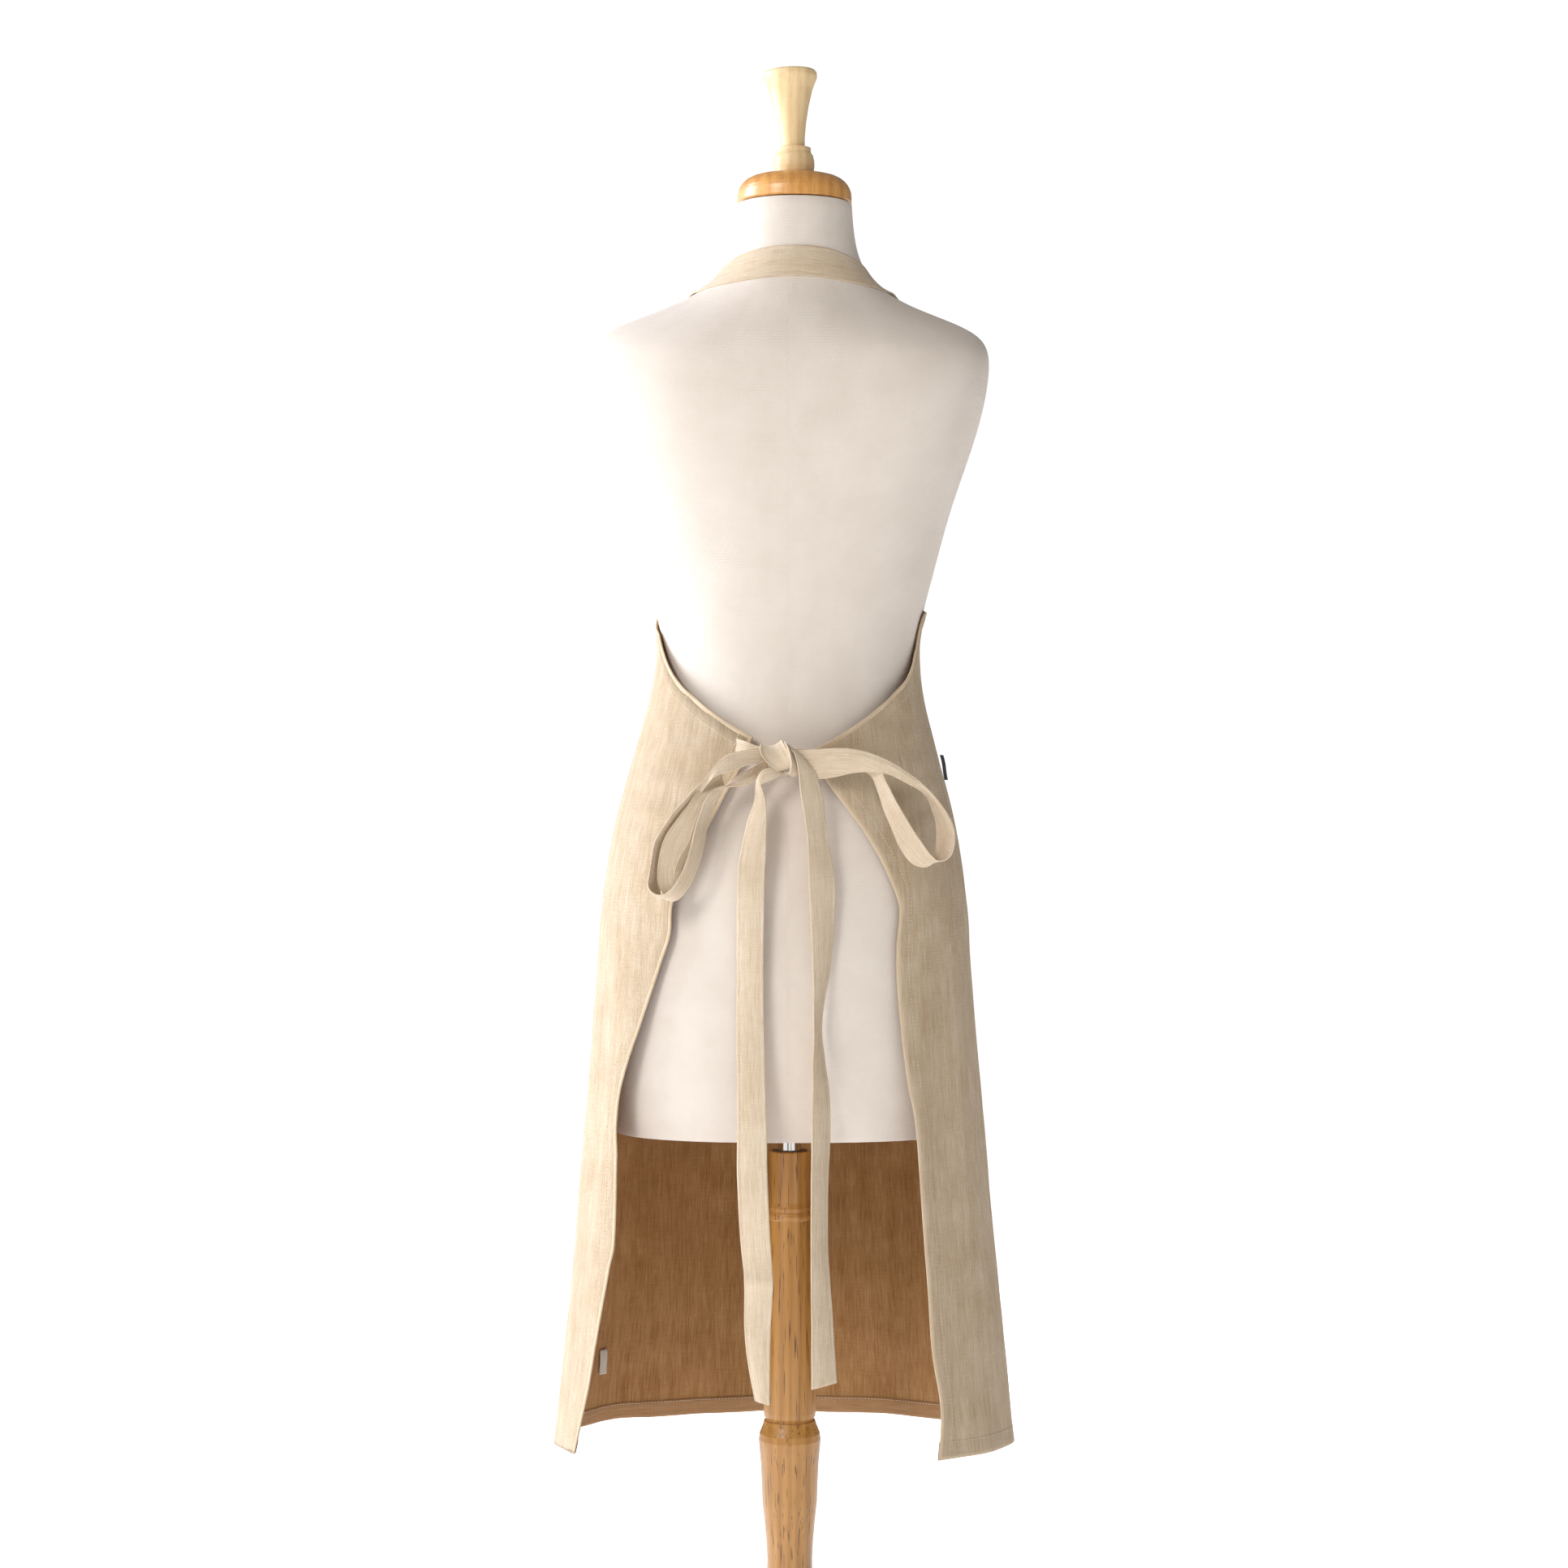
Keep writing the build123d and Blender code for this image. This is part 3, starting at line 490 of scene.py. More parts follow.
def curve_through(points, samples):
    """Evenly spaced points on a smooth curve through (a, b, ...) points."""
    length = [0.0]
    for p, q in zip(points, points[1:]):
        length.append(length[-1] + math.dist(p, q))
    table = [(s,) + tuple(p) for s, p in zip(length, points)]
    return [hermite(table, length[-1] * k / (samples - 1)) for k in range(samples)]


def as_turns(edge):
    """Edge points as cloth length round the apron and height, so that they can be spaced evenly (mm)."""
    return [(turn_at(x, z) * AROUND, z) for x, z in edge]


def hem_height(turn):
    """The height of the hem, which is lower in front than behind."""
    return HEM_LEVEL - HEM_SLOPE * apron_base(turn, HEM_LEVEL - 3).y


def apron_outline(rows, wing, armhole, bib):
    """The four sides of the cloth as (turn, height): hem, top, left opening and right opening."""
    left = curve_through(as_turns(OPEN_L), rows)[::-1]
    right = curve_through(as_turns(OPEN_R), rows)[::-1]
    left = [(a / AROUND, z) for a, z in left]
    right = [(a / AROUND, z) for a, z in right]

    def side_top(wing_edge, sign):
        shoulder = [(turn_at(x, z) * AROUND, z) for x, z in wing_edge[::-1]]
        over = (sign * SIDE_TURN * AROUND, SIDE_TOPS[sign])
        arm = [over] + [(turn_at(sign * x, z, back=False) * AROUND, z) for x, z in ARMHOLE]
        return curve_through(shoulder + [over], wing), curve_through(arm, armhole + 1)[1:]
    wing_l, arm_l = side_top(WING_L, -1)
    wing_r, arm_r = side_top(WING_R, 1)
    start, end = arm_l[-1], arm_r[-1]
    across = [(mix(start[0], end[0], k / bib), BIB_TOP - 2.0 * math.sin(math.pi * k / bib)) for k in range(1, bib)]
    top = wing_l + arm_l + across + arm_r[::-1] + wing_r[::-1]
    top = [(a / AROUND, z) for a, z in top]
    cols = len(top)
    bottom = []
    for k in range(cols):
        s = k / (cols - 1)
        turn = mix(left[0][0], right[0][0], s)
        bottom.append((turn, hem_height(turn)))
    left[0], right[0] = bottom[0], bottom[-1]
    left[-1], right[-1] = top[0], top[-1]
    return bottom, top, left, right


def coons(bottom, top, left, right):
    """A grid of (turn, height) that fills the outline."""
    rows, cols = len(left), len(bottom)
    grid = []
    for r in range(rows):
        t = r / (rows - 1)
        line = []
        for c in range(cols):
            s = c / (cols - 1)
            pair = []
            for k in (0, 1):
                ruled = mix(bottom[c][k], top[c][k], t) + mix(left[r][k], right[r][k], s)
                corners = mix(mix(bottom[0][k], bottom[-1][k], s), mix(top[0][k], top[-1][k], s), t)
                pair.append(ruled - corners)
            line.append(pair)
        grid.append(line)
    return grid


HEM_SIDE, HEM_FOOT = 15.0, 17.0
HEMS = (("left", HEM_SIDE), ("right", HEM_SIDE), ("foot", HEM_FOOT), ("top", HEM_SIDE))
HEM_SEARCH = 60    # grid points looked at from an edge inwards, more than a hem ever covers
HEM_ROLL = 0.85    # radius of the rolled fold at the edge
# pitch, length and radius of the stitches in the hems and in the ties
HEM_STITCH = (3.4, 2.5, 0.33)
TIE_STITCH = (2.6, 1.9, 0.28)


def make_apron():
    """The body of the apron as one sheet with a real thickness, with its turned hems and its stitches."""
    rows, wing, armhole, bib = 190, 46, 34, 60
    bottom, top, left, right = apron_outline(rows, wing, armhole, bib)
    grid = coons(bottom, top, left, right)
    cols = len(bottom)
    outer, uvs = [], []
    for r in range(rows):
        for c in range(cols):
            turn, z = grid[r][c]
            here = apron_base(turn, z) + apron_normal(turn, z) * (CLOTH / 2 + 0.4 + folds(turn, z))
            outer.append(here)
            uvs.append((turn * 0.16, z * MM))
    keep_clear(outer)
    normals = grid_normals(outer, rows, cols)
    edge = edge_distance(outer, rows, cols)
    skin, lining = [], []
    for p, n, d in zip(outer, normals, edge):
        seam = math.exp(-((d - HEM_SIDE) / 1.3) ** 2)
        plump = 0.35 * (1 - smooth(d, HEM_SIDE - 2, HEM_SIDE + 2)) + 0.25 * math.exp(-((d - 1.5) / 2.0) ** 2)
        round_off = 0.35 * (1 - smooth(d, 0.0, 1.2))
        skin.append((p + n * (CLOTH / 2 + plump - 0.45 * seam - round_off)) * MM)
        lining.append((p - n * (CLOTH / 2 - round_off)) * MM)
    front, behind, rim = closed_faces(rows, cols)
    # The front and the rim get the linen; the inside face gets its darker painted-shade copy.
    sides = [0] * len(front) + [1] * len(behind) + [0] * len(rim)
    apron = build("apron_sheet", skin + lining, front + behind + rim, uvs + uvs, [LINEN, LINEN_INSIDE_PAINTED_SHADE],
                  "form", face_mats=sides)
    hems = make_hems(outer, normals, rows, cols)
    stitches = make_hem_stitches(outer, normals, rows, cols)
    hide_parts("apron_panel")
    return apron, hems, stitches


def keep_clear(points):
    """Moves points (mm) that are too near the form out to a small gap."""
    for i, p in enumerate(points):
        near, normal, _, _ = COVER_TREE.find_nearest(p * MM)
        away = p - near / MM
        inside = away.dot(Vector((p.x, p.y, 0))) < 0
        if inside or away.length < FORM_GAP:
            out = normal if normal.dot(Vector((near.x, near.y, 0))) >= 0 else -normal
            points[i] = near / MM + out * FORM_GAP


def grid_normals(points, rows, cols):
    """The outward normal at each point of a grid."""
    normals = []
    for r in range(rows):
        for c in range(cols):
            a, b = points[r * cols + max(c - 1, 0)], points[r * cols + min(c + 1, cols - 1)]
            d, e = points[max(r - 1, 0) * cols + c], points[min(r + 1, rows - 1) * cols + c]
            normals.append((b - a).cross(e - d).normalized())
    middle = (rows // 2) * cols + cols // 2
    if normals[middle].y * points[middle].y < 0:
        normals = [-n for n in normals]
    return normals


def edge_distance(points, rows, cols):
    """How far each grid point is from the cloth's edge, along the grid (mm)."""
    far, reach = 1e9, 60
    dist = [far] * (rows * cols)
    lines = [[r * cols + c for c in range(cols)] for r in range(rows)]
    lines += [[r * cols + c for r in range(rows)] for c in range(cols)]
    for line in lines + [way[::-1] for way in lines]:
        run = 0.0
        for k, v in enumerate(line):
            if k:
                run += (points[v] - points[line[k - 1]]).length
            dist[v] = min(dist[v], run)
            if run > reach:
                break
    return dist


def inward_line(points, normals, rows, cols, side, steps):
    """For each grid line that leaves one side, its (point, normal) pairs at the distances in steps (mm)."""
    across = [[r * cols + c for c in range(cols)] for r in range(rows)]
    upright = [[r * cols + c for r in range(rows)] for c in range(cols)]
    lines = across if side in ("left", "right") else upright
    if side in ("right", "top"):
        lines = [line[::-1] for line in lines]
    out = []
    for line in lines:
        run, places = 0.0, []
        want = list(steps)
        prev = line[0]
        if want[0] == 0:
            places.append((points[prev].copy(), normals[prev].copy()))
            want.pop(0)
        for v in line[1:HEM_SEARCH]:
            gap = (points[v] - points[prev]).length
            while want and run + gap >= want[0]:
                t = (want[0] - run) / gap if gap else 0
                places.append((points[prev].lerp(points[v], t), normals[prev].lerp(normals[v], t)))
                want.pop(0)
            run += gap
            prev = v
        places += [(points[prev].copy(), normals[prev].copy()) for _ in want]
        out.append(places)
    return out


def make_hems(points, normals, rows, cols):
    """The turned hems along all sides: a rolled fold at the edge and a second layer on the inside of the cloth."""
    verts, faces, coords, sides = [], [], [], []
    # a step's number and how far the turned layer stands inside the cloth there
    inner = ((1, 1.3), (2, 1.15), (3, 1.15), (4, 1.15), (5, 1.0), (6, 0.45))
    for side, width in HEMS:
        steps = [0, 1.6, 4.0, width * 0.35, width * 0.7, width - 0.8, width]
        lines = inward_line(points, normals, rows, cols, side, steps)
        base = len(verts)
        run = 0.0
        for i, places in enumerate(lines):
            if i:
                run += (places[0][0] - lines[i - 1][0][0]).length * MM
            edge, out = places[0]
            inward = (places[2][0] - edge).normalized()
            outer = places[2][0] + places[2][1] * (CLOTH / 2 + 0.1)
            near = places[1][0] + places[1][1] * (CLOTH / 2 + 0.55)
            ring = [outer, near]
            for k in range(5):
                angle = math.pi * (0.6 + 0.2 * k)
                ring.append(edge + inward * HEM_ROLL * (0.6 + math.cos(angle)) + out * HEM_ROLL * math.sin(angle))
            ring += [places[k][0] - places[k][1] * (CLOTH / 2 + lift) for k, lift in inner]
            verts += [p * MM for p in ring]
            coords += [(k * 0.0025, run) for k in range(len(ring))]
        strips = grid_faces(len(lines), len(ring), base=base)
        faces += strips
        per_row = len(ring) - 1
        # The strip by the edge and the outer part of the roll get the painted-highlight copy of the linen.
        sides += [0 if f % per_row < 5 else 1 for f in range(len(strips))]
    # The rest of the roll and the turned layer inside get the painted-shade copy of the linen.
    return build("apron_hems", verts, faces, coords, [LINEN_EDGE_PAINTED_HIGHLIGHT, LINEN_HEM_PAINTED_SHADE], "form", face_mats=sides)


def stitch_points(place, way, out, length, radius):
    """The corners of one stitch: a small rounded bead that lies along way."""
    side = way.cross(out).normalized() * radius
    up = out.normalized() * radius * 0.8
    half = way.normalized() * length / 2
    ring = [side, up, -side, -up]
    pts = [place - half] + [place - half * 0.6 + q for q in ring] + [place + half * 0.6 + q for q in ring]
    pts.append(place + half)
    return pts


STITCH_FACES = ([(0, 1 + (k + 1) % 4, 1 + k) for k in range(4)]
                + [(1 + k, 1 + (k + 1) % 4, 5 + (k + 1) % 4, 5 + k) for k in range(4)]
                + [(9, 5 + k, 5 + (k + 1) % 4) for k in range(4)])


def stitches_along(lines, stitch, lift):
    """Stitches along (point, normal) runs, a lift above them, in mm."""
    pitch, length, radius = stitch
    verts, faces = [], []
    for line in lines:
        carry = 0.0
        for (p, n), (q, m) in zip(line, line[1:]):
            gap = (q - p).length
            if gap < 1e-6:
                continue
            at = pitch - carry
            while at <= gap:
                t = at / gap
                out = n.lerp(m, t).normalized()
                spot = p.lerp(q, t) + out * lift
                base = len(verts)
                verts += [v * MM for v in stitch_points(spot, q - p, out, length, radius)]
                faces += [tuple(base + k for k in f) for f in STITCH_FACES]
                at += pitch
            carry = (carry + gap) % pitch
    return verts, faces


def sew(name, verts, faces):
    """One object of all the stitches."""
    return build(name, verts, faces, [(v.x * 3 + v.y, v.z) for v in verts], [THREAD], "form")


def turned_over(lines):
    """The same runs with their normals turned round, for the other face of the cloth."""
    return [[(p, -n) for p, n in line] for line in lines]


def make_hem_stitches(points, normals, rows, cols):
    """The stitches that hold the hems, on both faces of the cloth."""
    lines = []
    for side, width in HEMS:
        places = inward_line(points, normals, rows, cols, side, [width - 1.6])
        lines.append([p[0] for p in places])
    verts, faces = stitches_along(lines, HEM_STITCH, CLOTH / 2 + 0.15)
    inner, inner_faces = stitches_along(turned_over(lines), HEM_STITCH, CLOTH / 2 + 1.35)
    faces += [tuple(len(verts) + k for k in f) for f in inner_faces]
    verts += inner
    return sew("apron_stitches", verts, faces)


# ---- ribbons ------------------------------------------------------------------------------------
RIBBON_STEP = 2.5
# places across a strap, 0 to 1, with how much of the full thickness it has there; it dips at its seams
RIBBON_HALF = ((0.0, 0.45), (0.03, 0.95), (0.07, 1.0), (0.11, 0.55), (0.15, 0.9), (0.3, 0.85))
RIBBON_SHAPE = RIBBON_HALF + ((0.5, 0.8),) + tuple((round(1 - a, 2), b) for a, b in RIBBON_HALF[::-1])
SEAM_SHARES = (0.11, 0.89)


def ribbon_mesh(stations, thick=1.5, cup=0.0, ripple=0.25, seed=0):
    """Points, faces, UVs and stitch lines of a strap whose two edges pass through the stations (mm).

    A station is (xa, ya, za, xb, yb, zb). The strap has thick folded edges with a seam just inside each."""
    total = 0.0
    for a, b in zip(stations, stations[1:]):
        total += math.dist([(a[k] + a[k + 3]) / 2 for k in range(3)], [(b[k] + b[k + 3]) / 2 for k in range(3)])
    count = max(8, int(total / RIBBON_STEP))
    line = curve_through(stations, count)
    mids = [(Vector(row[:3]), Vector(row[3:])) for row in line]
    verts_top, verts_low, uvs = [], [], []
    seams = ([], [])
    run = 0.0
    for i, (a, b) in enumerate(mids):
        prev_mid = sum(mids[max(i - 1, 0)], Vector()) / 2
        next_mid = sum(mids[min(i + 1, len(mids) - 1)], Vector()) / 2
        ahead = (next_mid - prev_mid).normalized()
        side = b - a
        out = side.cross(ahead).normalized()
        if i:
            run += ((a + b) / 2 - sum(mids[i - 1], Vector()) / 2).length
        for share, puff in RIBBON_SHAPE:
            bow = cup * 4 * share * (1 - share)
            shake = ripple * noise.noise(Vector((run * 0.035 + seed, share * 1.6, seed * 1.7))) * 2
            mid = a.lerp(b, share) + out * (bow + shake)
            verts_top.append(mid + out * thick / 2 * puff)
            verts_low.append(mid - out * thick / 2 * puff)
            uvs.append((share * side.length * MM + seed * 0.37, run * MM))
            if share in SEAM_SHARES:
                seams[0 if share < 0.5 else 1].append((mid.copy(), out.copy()))
    front, behind, rim = closed_faces(len(mids), len(RIBBON_SHAPE))
    return [v * MM for v in verts_top + verts_low], front + behind + rim, uvs + uvs, seams, total


def make_straps(name, strips, node):
    """One object of several ribbons, with a stitched piece for its seams."""
    points, faces, uvs, seams = [], [], [], []
    for seed, (stations, options) in enumerate(strips):
        p, f, u, s, run = ribbon_mesh(stations, seed=seed + 1, **options)
        base = len(points)
        points += p
        faces += [tuple(base + v for v in face) for face in f]
        uvs += u
        seams += list(s)
    strap = build(name, points, faces, uvs, [LINEN_TIE], "form")
    sewn = sew(name + "_stitches", *stitches_along(seams + turned_over(seams), TIE_STITCH, 0.42))
    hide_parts(node)


# Each station of a tie is a point of one edge and of the other: x, y, z, x, y, z (mm).
# The tails and loops start at the knot.
TAIL_LEFT = (
    (-10, -112, 992, -6, -110, 981), (-14, -118, 984, -8, -118, 977), (-20, -122, 983.5, -15, -122, 973),
    (-25.5, -123, 981, -21, -124, 970.5), (-29.5, -122, 975, -25.5, -125, 969),
    (-31, -119, 966, -25, -125, 965), (-32, -117, 955, -22.4, -125, 957),
    (-35.5, -118, 944, -21, -126, 944), (-39, -118, 934, -21, -126, 933),
    (-43, -119, 916, -21.3, -127, 918), (-46.5, -120, 897, -22, -127, 899),
    (-48, -120, 870, -23, -127, 872), (-48.3, -120, 786, -24, -128, 786),
    (-48.3, -121, 730, -23, -127, 730), (-48, -121, 650, -21, -128, 650),
    (-48, -120, 613, -20.5, -127, 618), (-45, -120, 555, -18, -129, 560),
    (-42, -119.5, 526, -15.8, -128, 528), (-41.5, -124, 517, -15, -132, 518),
    (-41.3, -120, 508, -15.5, -128, 507), (-41.5, -120, 479, -17.5, -127, 474),
    (-39, -120, 448, -18.3, -128, 440), (-32, -121, 409, -18.5, -127, 406),
)
TAIL_RIGHT = (
    (-8, -110, 1001, -4, -108, 1003), (-3, -118, 1001, 4, -114, 1000.5), (2.5, -123, 998.5, 11, -117, 994),
    (5.5, -126, 991, 17, -118, 987.5), (7.5, -127, 980, 22.5, -118, 980),
    (8.8, -128, 966, 26.5, -118, 968), (10.5, -129, 954, 30, -118, 957), (13.5, -130, 938, 32, -118, 940),
    (16, -131, 915, 35, -118, 916), (17, -132, 886, 40, -119, 886), (17.5, -133, 868, 41.5, -119.5, 868),
    (19.5, -134, 828, 40, -120.5, 836), (21, -134, 786, 36, -121, 796), (21, -136, 762, 31, -121, 770),
    (21.5, -138, 744, 28.5, -120.5, 746), (20.5, -137, 712, 32, -120, 716),
    (20, -135, 688, 36, -119.5, 688), (19.5, -133, 649, 36.5, -118.5, 649),
    (19, -132, 597, 34.5, -118, 597), (18.8, -131, 537, 35, -117, 540), (19.3, -131, 480, 39, -118, 484),
    (19.5, -131, 421, 42.5, -119, 425),
)
LOOP_LEFT = (
    (-20, -112, 1001, -20, -113, 989), (-27, -117, 1001.3, -26, -119, 989.5),
    (-37, -120, 1000.3, -37, -124, 986.6), (-47.4, -121, 998.2, -47.4, -127, 982.3),
    (-56.7, -122, 995.5, -56.7, -129, 979.4), (-64, -123, 989.7, -63, -130, 977.6),
    (-71.3, -125, 981.8, -69.2, -131, 975), (-78.6, -127, 972.8, -75, -128, 968),
    (-87, -129, 964.4, -82, -122, 959), (-95.2, -131, 955, -87, -117, 951),
    (-104.6, -132, 944.4, -95, -115, 941), (-111, -132, 935, -101, -114, 933),
    (-117, -132, 926.4, -107, -114, 925), (-122.2, -132, 917, -111, -113, 916),
    (-124.5, -132, 907, -114, -113, 907), (-126, -132, 897, -116, -113, 897),
    (-127.5, -132, 886, -117, -113, 887), (-128.5, -133, 879, -118, -113, 878),
    (-127, -134, 873.5, -118, -114, 870), (-122, -135, 869.5, -115, -115, 865),
    (-115, -136, 869, -110, -116, 863), (-109, -136.5, 872.5, -103, -117, 863),
    (-104.6, -137, 877, -97.5, -118, 867.5), (-100, -137, 885, -92, -119, 875),
    (-96.2, -137, 892.7, -88, -120, 882.5), (-92.5, -137, 902, -84, -120, 892),
    (-90, -136, 910.6, -81, -120, 900), (-87, -136, 923, -78, -119, 913),
    (-83.8, -134, 936, -76, -118, 927), (-77.5, -132, 954, -72, -117, 943),
    (-71.5, -130, 962, -66.5, -117, 954), (-67, -128, 965, -62, -115, 962),
    (-60, -126, 966, -57, -112, 969), (-52.6, -123, 966.5, -50, -110, 975),
    (-42, -120, 967.8, -41, -108, 981), (-34, -117, 970, -33, -107, 985),
    (-29.5, -113, 974, -28, -106, 988), (-20, -108, 980, -20, -106, 992),
)
LOOP_LEFT_MIDDLE = (
    (-62, -118, 981, -60, -116, 968), (-72, -122, 974, -66, -120, 966),
    (-79, -124, 967.5, -71.3, -122, 963), (-86, -126, 961, -75, -123, 958.5),
    (-92, -127, 950.7, -79, -124, 952), (-99, -128, 941.5, -82, -125, 943),
    (-104.6, -128, 933.8, -84.5, -126, 935.5), (-110.5, -128, 926, -87.5, -126, 926),
    (-115, -128, 917, -90.5, -126, 916.5), (-118.5, -127, 904, -96.5, -127, 906.5),
    (-120, -127, 892, -101.4, -127, 897), (-120.2, -127, 882, -104.3, -128, 884),
    (-118, -128, 874, -105.6, -129, 875), (-114.5, -130, 869.5, -107, -130, 870),
)
LOOP_RIGHT = (
    (-2, -110, 999, 0, -110, 982), (10, -114, 1000, 12, -112, 977), (22, -118, 1000.5, 24, -115, 973.5),
    (40, -121, 1001.5, 40, -117, 975), (56.6, -122, 1001, 56.6, -119, 978.7),
    (75.6, -123, 996.5, 73, -121, 979.8), (94.7, -124, 987.6, 90, -123, 977),
    (113.7, -125, 975, 107.4, -124, 968.6), (126.4, -127, 963.5, 119.5, -122, 962),
    (136.6, -129, 951, 125.5, -117, 955), (144.2, -131, 939.4, 129, -114, 946),
    (148.6, -132, 929, 132.5, -112, 935), (149.5, -133, 920, 133.4, -112, 925),
    (148.2, -134, 911, 132.8, -112, 914), (145.5, -135, 904.5, 131.5, -112, 904),
    (140.5, -136, 900.5, 129, -113, 897.5), (134, -137, 899.5, 125, -114, 894),
    (128, -137.5, 904, 119, -115, 893.5), (123, -138, 910.5, 112, -116, 896),
    (117, -138, 919, 105.5, -117, 902.5), (111.2, -137, 928, 99, -117, 912.5),
    (103.6, -135, 940.7, 92.5, -117, 928), (94.7, -132, 956, 86, -116, 943.5),
    (87.5, -128, 970, 79.8, -114, 963), (82, -122, 981, 74, -112, 976), (66, -112, 987, 62, -109, 982),
    (40, -108, 992, 40, -107, 979), (18, -106, 996, 18, -106, 980), (0, -105, 997, 0, -105, 984),
)
KNOT_WRAP = (
    (-20, -97, 998, -9, -97, 1001), (-24, -104, 1004, -8, -103, 1008),
    (-26.5, -114, 1004.5, -7, -114, 1008.5), (-27.5, -121, 1000, -4, -122, 1003.5),
    (-26, -124.5, 995, -1, -126, 998), (-22.5, -125.5, 990, 1.2, -127, 992),
    (-17.5, -124.5, 985, 3.2, -125.5, 985.5), (-11.5, -120, 980.5, 4.8, -120, 979.5),
    (-8, -110, 979, 4, -110, 977.5),
)
KNOT_FOLD = (
    (-9, -99, 1002, -3, -98, 1000), (-6.5, -113, 1008, -1.5, -109, 1005),
    (-2.5, -126, 1003, 2.5, -118, 999), (0, -130, 995, 5.5, -122, 992), (1, -130, 987, 7.5, -122, 984),
    (-1, -125, 979.5, 6, -118, 976.5), (-6, -113, 978, 1, -110, 976),
)
CORNER_LEFT = (
    (-52, -89, 1012, -56, -88, 1001), (-40, -100, 1008, -43, -100, 996),
    (-30, -104, 1004, -32, -104, 992), (-18, -108, 1001, -18, -108, 988),
)
CORNER_RIGHT = (
    (34, -98, 1001, 34, -98, 984), (20, -100, 1001, 20, -101, 984),
    (8, -103, 1001, 8, -104, 984), (-6, -106, 1000, -6, -106, 984),
)


def make_bow():
    """Both ties with their loops and tails, and the knot that wraps them."""
    left = [(TAIL_LEFT, {"cup": -0.8}), (LOOP_LEFT, {"cup": 1.0}), (LOOP_LEFT_MIDDLE, {"cup": 1.6}),
            (CORNER_LEFT, {"ripple": 0.1})]
    right = [(TAIL_RIGHT, {"cup": -0.8}), (LOOP_RIGHT, {"cup": 1.0}), (CORNER_RIGHT, {"ripple": 0.1})]
    make_straps("tie_left_cloth", left, "tie_left")
    make_straps("tie_right_cloth", right, "tie_right")
    knot = [(KNOT_WRAP, {"cup": 3.5, "ripple": 0.2}), (KNOT_FOLD, {"cup": 1.0, "ripple": 0.1})]
    make_straps("knot_cloth", knot, "bow_knot")


# ---- neck strap ---------------------------------------------------------------------------------
STRAP_MIDDLE = (
    (0, -54, 1455), (20, -50, 1454), (38, -40, 1450), (54, -26, 1443), (68, -8, 1433), (80, 10, 1418),
    (89, 28, 1404), (96, 46, 1389), (101, 62, 1374),
)
STRAP_END = ((103, 78, 1356), (104, 86, 1340), (104.5, 90, 1322))
STRAP_FREE = 1370   # below this height the strap hangs clear of the form, down to the bib
STRAP_LIFT = 2.2
STRAP_WIDTH = 31.0
NAPE_X = 4.0


def strap_half(side):
    """The middle line of one half of the neck strap, from the nape to the bib."""
    places = curve_through(STRAP_MIDDLE, 28)
    over = [Vector((side * x + NAPE_X * (1 - i / 28), y, z)) for i, (x, y, z) in enumerate(places)]
    return over + [Vector((side * x, y, z)) for x, y, z in STRAP_END]


def make_neck_strap():
    """A doubled strap that follows the form from one corner of the bib round the neck to the other."""
    line = strap_half(-1)[:0:-1] + strap_half(1)
    stations = []
    for i, p in enumerate(line):
        ahead = (line[min(i + 1, len(line) - 1)] - line[max(i - 1, 0)]).normalized()
        near, normal, _, _ = COVER_TREE.find_nearest(p * MM)
        near = near / MM
        out = normal if normal.dot(p - Vector((0, 5, p.z - 30))) > 0 else -normal
        free = p.z < STRAP_FREE
        if free:
            near = p
            out = Vector((0, 0.97, 0.2))
        side = ahead.cross(out).normalized()
        edges = []
        for sign in (1, -1):
            spot = near + side * sign * STRAP_WIDTH / 2
            if not free:
                touch, face_n, _, _ = COVER_TREE.find_nearest(spot * MM)
                face_n = face_n if face_n.dot(out) > 0 else -face_n
                spot = touch / MM + face_n * STRAP_LIFT
            edges.append(spot)
        stations.append(tuple(edges[0]) + tuple(edges[1]))
    make_straps("neck_strap_cloth", [(stations, {"thick": 1.9, "ripple": 0.12})], "neck_strap")


# ---- labels -------------------------------------------------------------------------------------
def make_label(name, middle, across, up, material, node):
    """A small piece of tape in a CAD block's place. The middle and the two half sides are in metres."""
    pts, uvs = [], []
    out = across.cross(up).normalized()
    rows, cols = 13, 7
    for r in range(rows):
        v = -1 + 2 * r / (rows - 1)
        for c in range(cols):
            u = -1 + 2 * c / (cols - 1)
            curl = out * (0.0006 * math.sin(v * 2.2 + 0.4) + 0.0004 * u * u)
            pts.append(middle + across * u + up * v + curl)
            uvs.append((u * 0.005, v * 0.012))
    tape = build(name, pts, grid_faces(rows, cols), uvs, [material], "form")
    solid = tape.modifiers.new("thickness", "SOLIDIFY")
    solid.thickness = 0.0005
    solid.offset = 0
    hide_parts(node)


LABEL_HALF = 0.0048


def make_labels():
    """The care label inside the skirt and the tab that stands out of the side seam."""
    low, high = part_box("care_label")
    across = Vector((high.x - low.x, high.y - low.y, 0)).normalized() * LABEL_HALF
    upright = Vector((0, 0, 0.0122))
    make_label("care_label_tape", (low + high) / 2, across, upright, LABEL_CLOTH, "care_label")
    low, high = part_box("side_tab")
    corners = [v.co.copy() for v in NODES["side_tab"].data.vertices]
    longest = max((a - b for a in corners for b in corners), key=lambda d: abs(d.z) - 0.5 * math.hypot(d.x, d.y))
    up = Vector((longest.x, longest.y, abs(longest.z))) * 0.5
    across = Vector((0.36, 0.93, 0)).normalized() * LABEL_HALF
    middle = (low + high) / 2 + Vector((0.0012, 0, 0))
    make_label("side_tab_tape", middle, across, up, TAB_CLOTH, "side_tab")


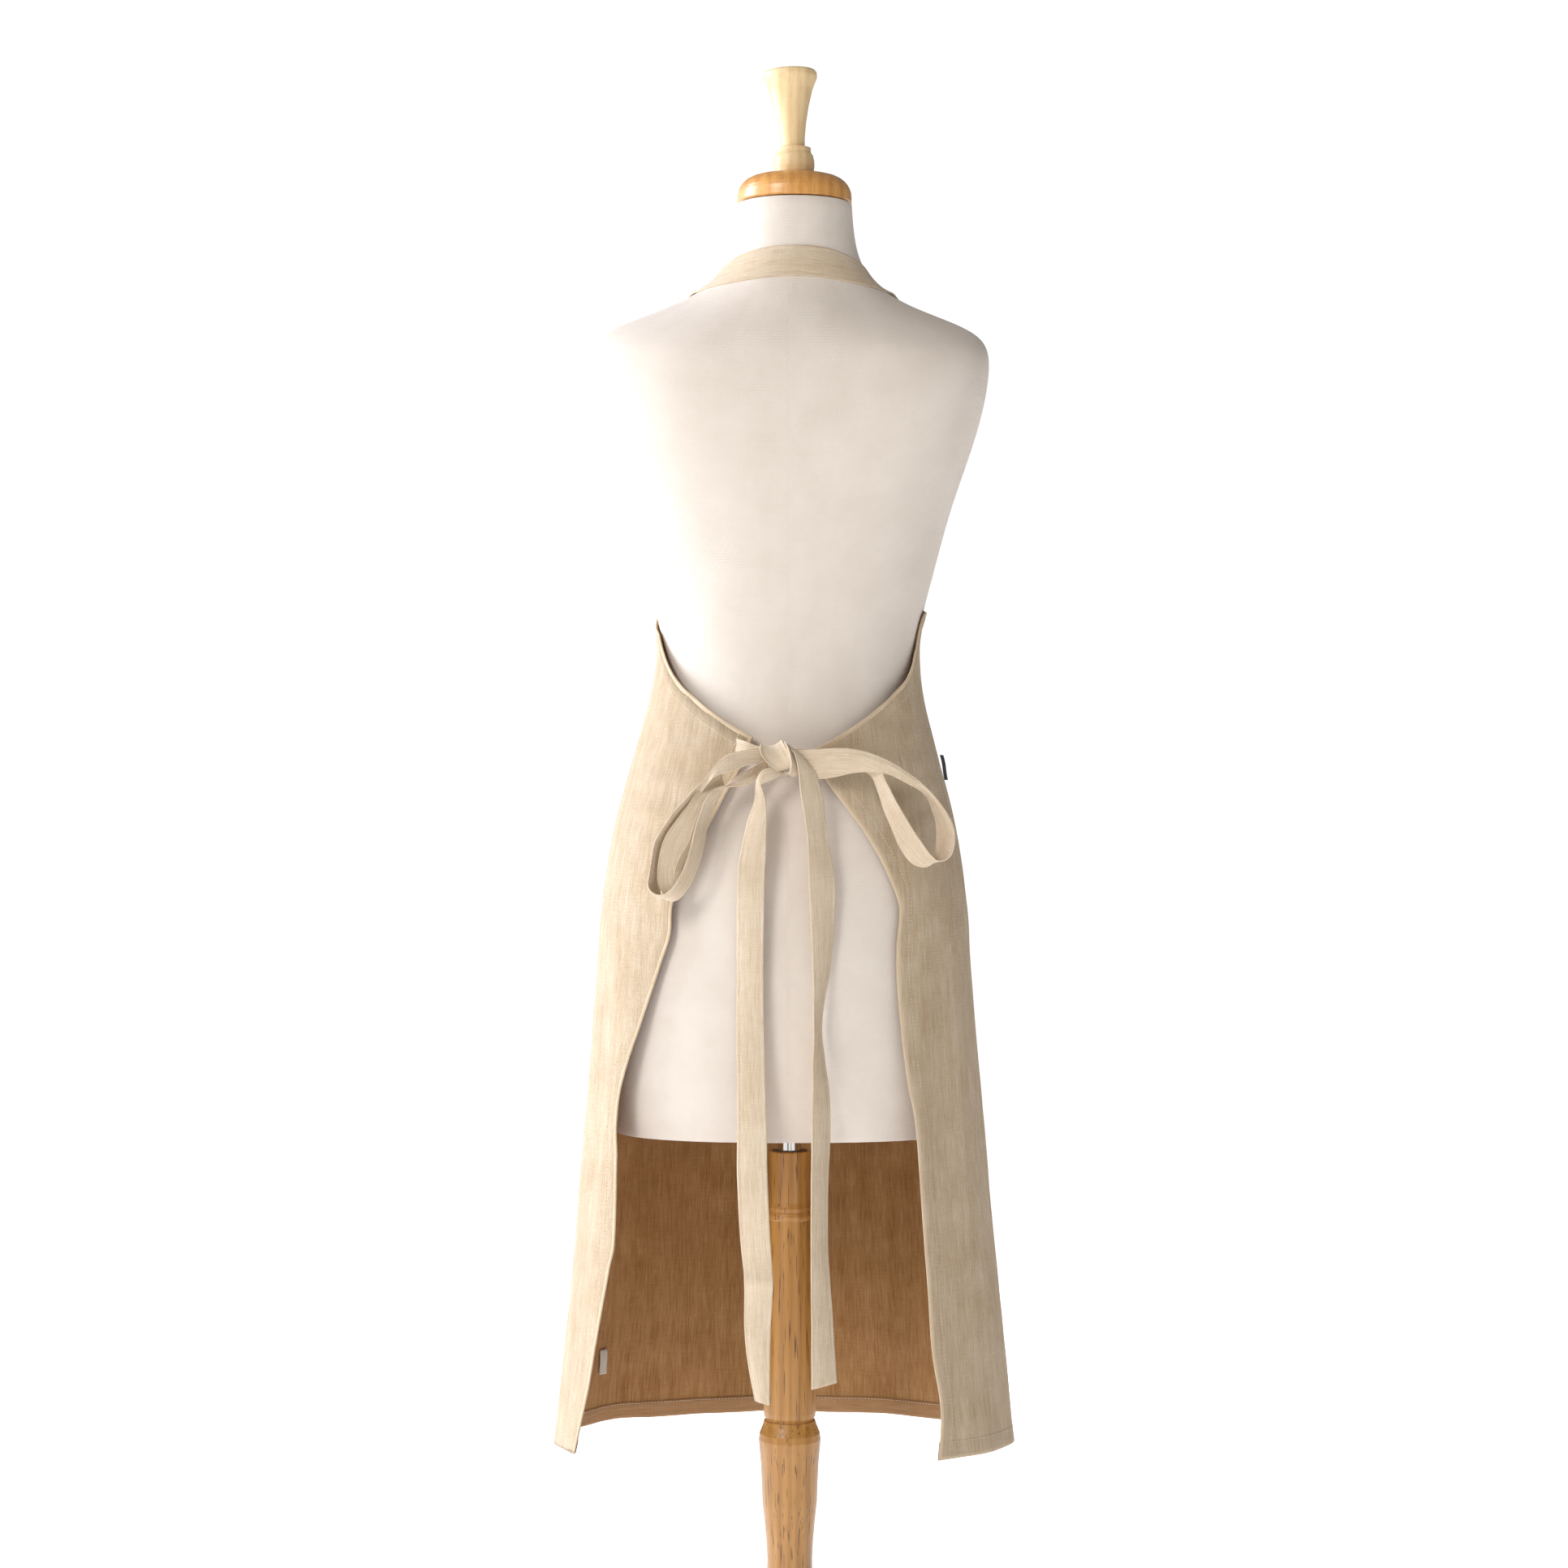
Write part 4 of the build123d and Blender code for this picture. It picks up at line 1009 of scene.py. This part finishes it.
# ---- stage, light, camera -----------------------------------------------------------------------
def make_stage():
    """A plain pale floor."""
    floor_mat = Nodes("studio_floor")
    soft = floor_mat.noise(floor_mat.coords("Object", (1.5, 1.5, 1.5)), 1.0, 2, 0.5)
    tone = floor_mat.ramp(soft, (0.3, (0.84, 0.84, 0.84)), (0.7, (0.88, 0.88, 0.88)))
    shader = floor_mat.add("ShaderNodeBsdfPrincipled", {"Base Color": tone, "Roughness": 0.9,
                                                        "Emission Color": (1, 1, 1, 1), "Emission Strength": 0.84})
    mat = floor_mat.out(shader.outputs[0])
    half, top = 9, -0.0002
    pts = [Vector((x * half, y * half, top)) for y in (-1, 1) for x in (-1, 1)]
    floor = build("studio_floor", pts, [(0, 1, 3, 2)], [(0, 0)] * 4, [mat], body=None)


def area_light(name, place, target, size, energy, colour=(1, 1, 1)):
    """A soft rectangular light that faces its target."""
    data = bpy.data.lights.new(name, "AREA")
    data.shape = "RECTANGLE"
    data.size, data.size_y = size
    data.energy = energy
    data.color = colour
    light = bpy.data.objects.new(name, data)
    light.location = place
    light.rotation_euler = (Vector(target) - Vector(place)).to_track_quat("-Z", "Y").to_euler()
    bpy.context.scene.collection.objects.link(light)


def make_lights():
    """A large key light from the left, a fill high on the same side, a weak one beyond, and a white surround."""
    area_light("key", (-2.95, 0.55, 2.0), (0, 0, 1.05), (1.4, 2.4), 135, (0.93, 0.98, 1.1))
    area_light("fill", (-2.0, -2.7, 2.8), (0, 0, 1.4), (1.2, 1.3), 66, (1.0, 0.965, 0.925))
    area_light("back", (-0.8, 2.8, 1.4), (0, 0, 0.8), (2.6, 2.0), 22)
    world = bpy.data.worlds.new("studio")
    bpy.context.scene.world = world
    world.use_nodes = True
    tree = world.node_tree
    tree.nodes.clear()
    path = tree.nodes.new("ShaderNodeLightPath")
    both = tree.nodes.new("ShaderNodeMixShader")
    out = tree.nodes.new("ShaderNodeOutputWorld")
    tree.links.new(path.outputs["Is Camera Ray"], both.inputs[0])
    # the surround as it lights the object, and as it is seen
    for place, (colour, strength) in enumerate((((1.0, 0.955, 0.905, 1), 0.22), ((1, 1, 1, 1), 1.05))):
        shade = tree.nodes.new("ShaderNodeBackground")
        shade.inputs[0].default_value = colour
        shade.inputs[1].default_value = strength
        tree.links.new(shade.outputs[0], both.inputs[place + 1])
    tree.links.new(both.outputs[0], out.inputs[0])


def make_camera():
    """A level camera on the object's back side, at waist height."""
    data = bpy.data.cameras.new("camera")
    data.sensor_width = 36.0
    data.lens = 67.75
    camera = bpy.data.objects.new("camera", data)
    camera.location = (-0.0054, -2.8, 0.969)
    camera.rotation_euler = (math.pi / 2, 0, 0)
    bpy.context.scene.collection.objects.link(camera)
    bpy.context.scene.camera = camera


bpy.context.scene.view_settings.view_transform = "Standard"
make_camera()
make_lights()
make_stage()
make_cover()
apron_sheet, apron_hems, apron_stitches = make_apron()
make_neck_strap()
make_bow()
make_labels()
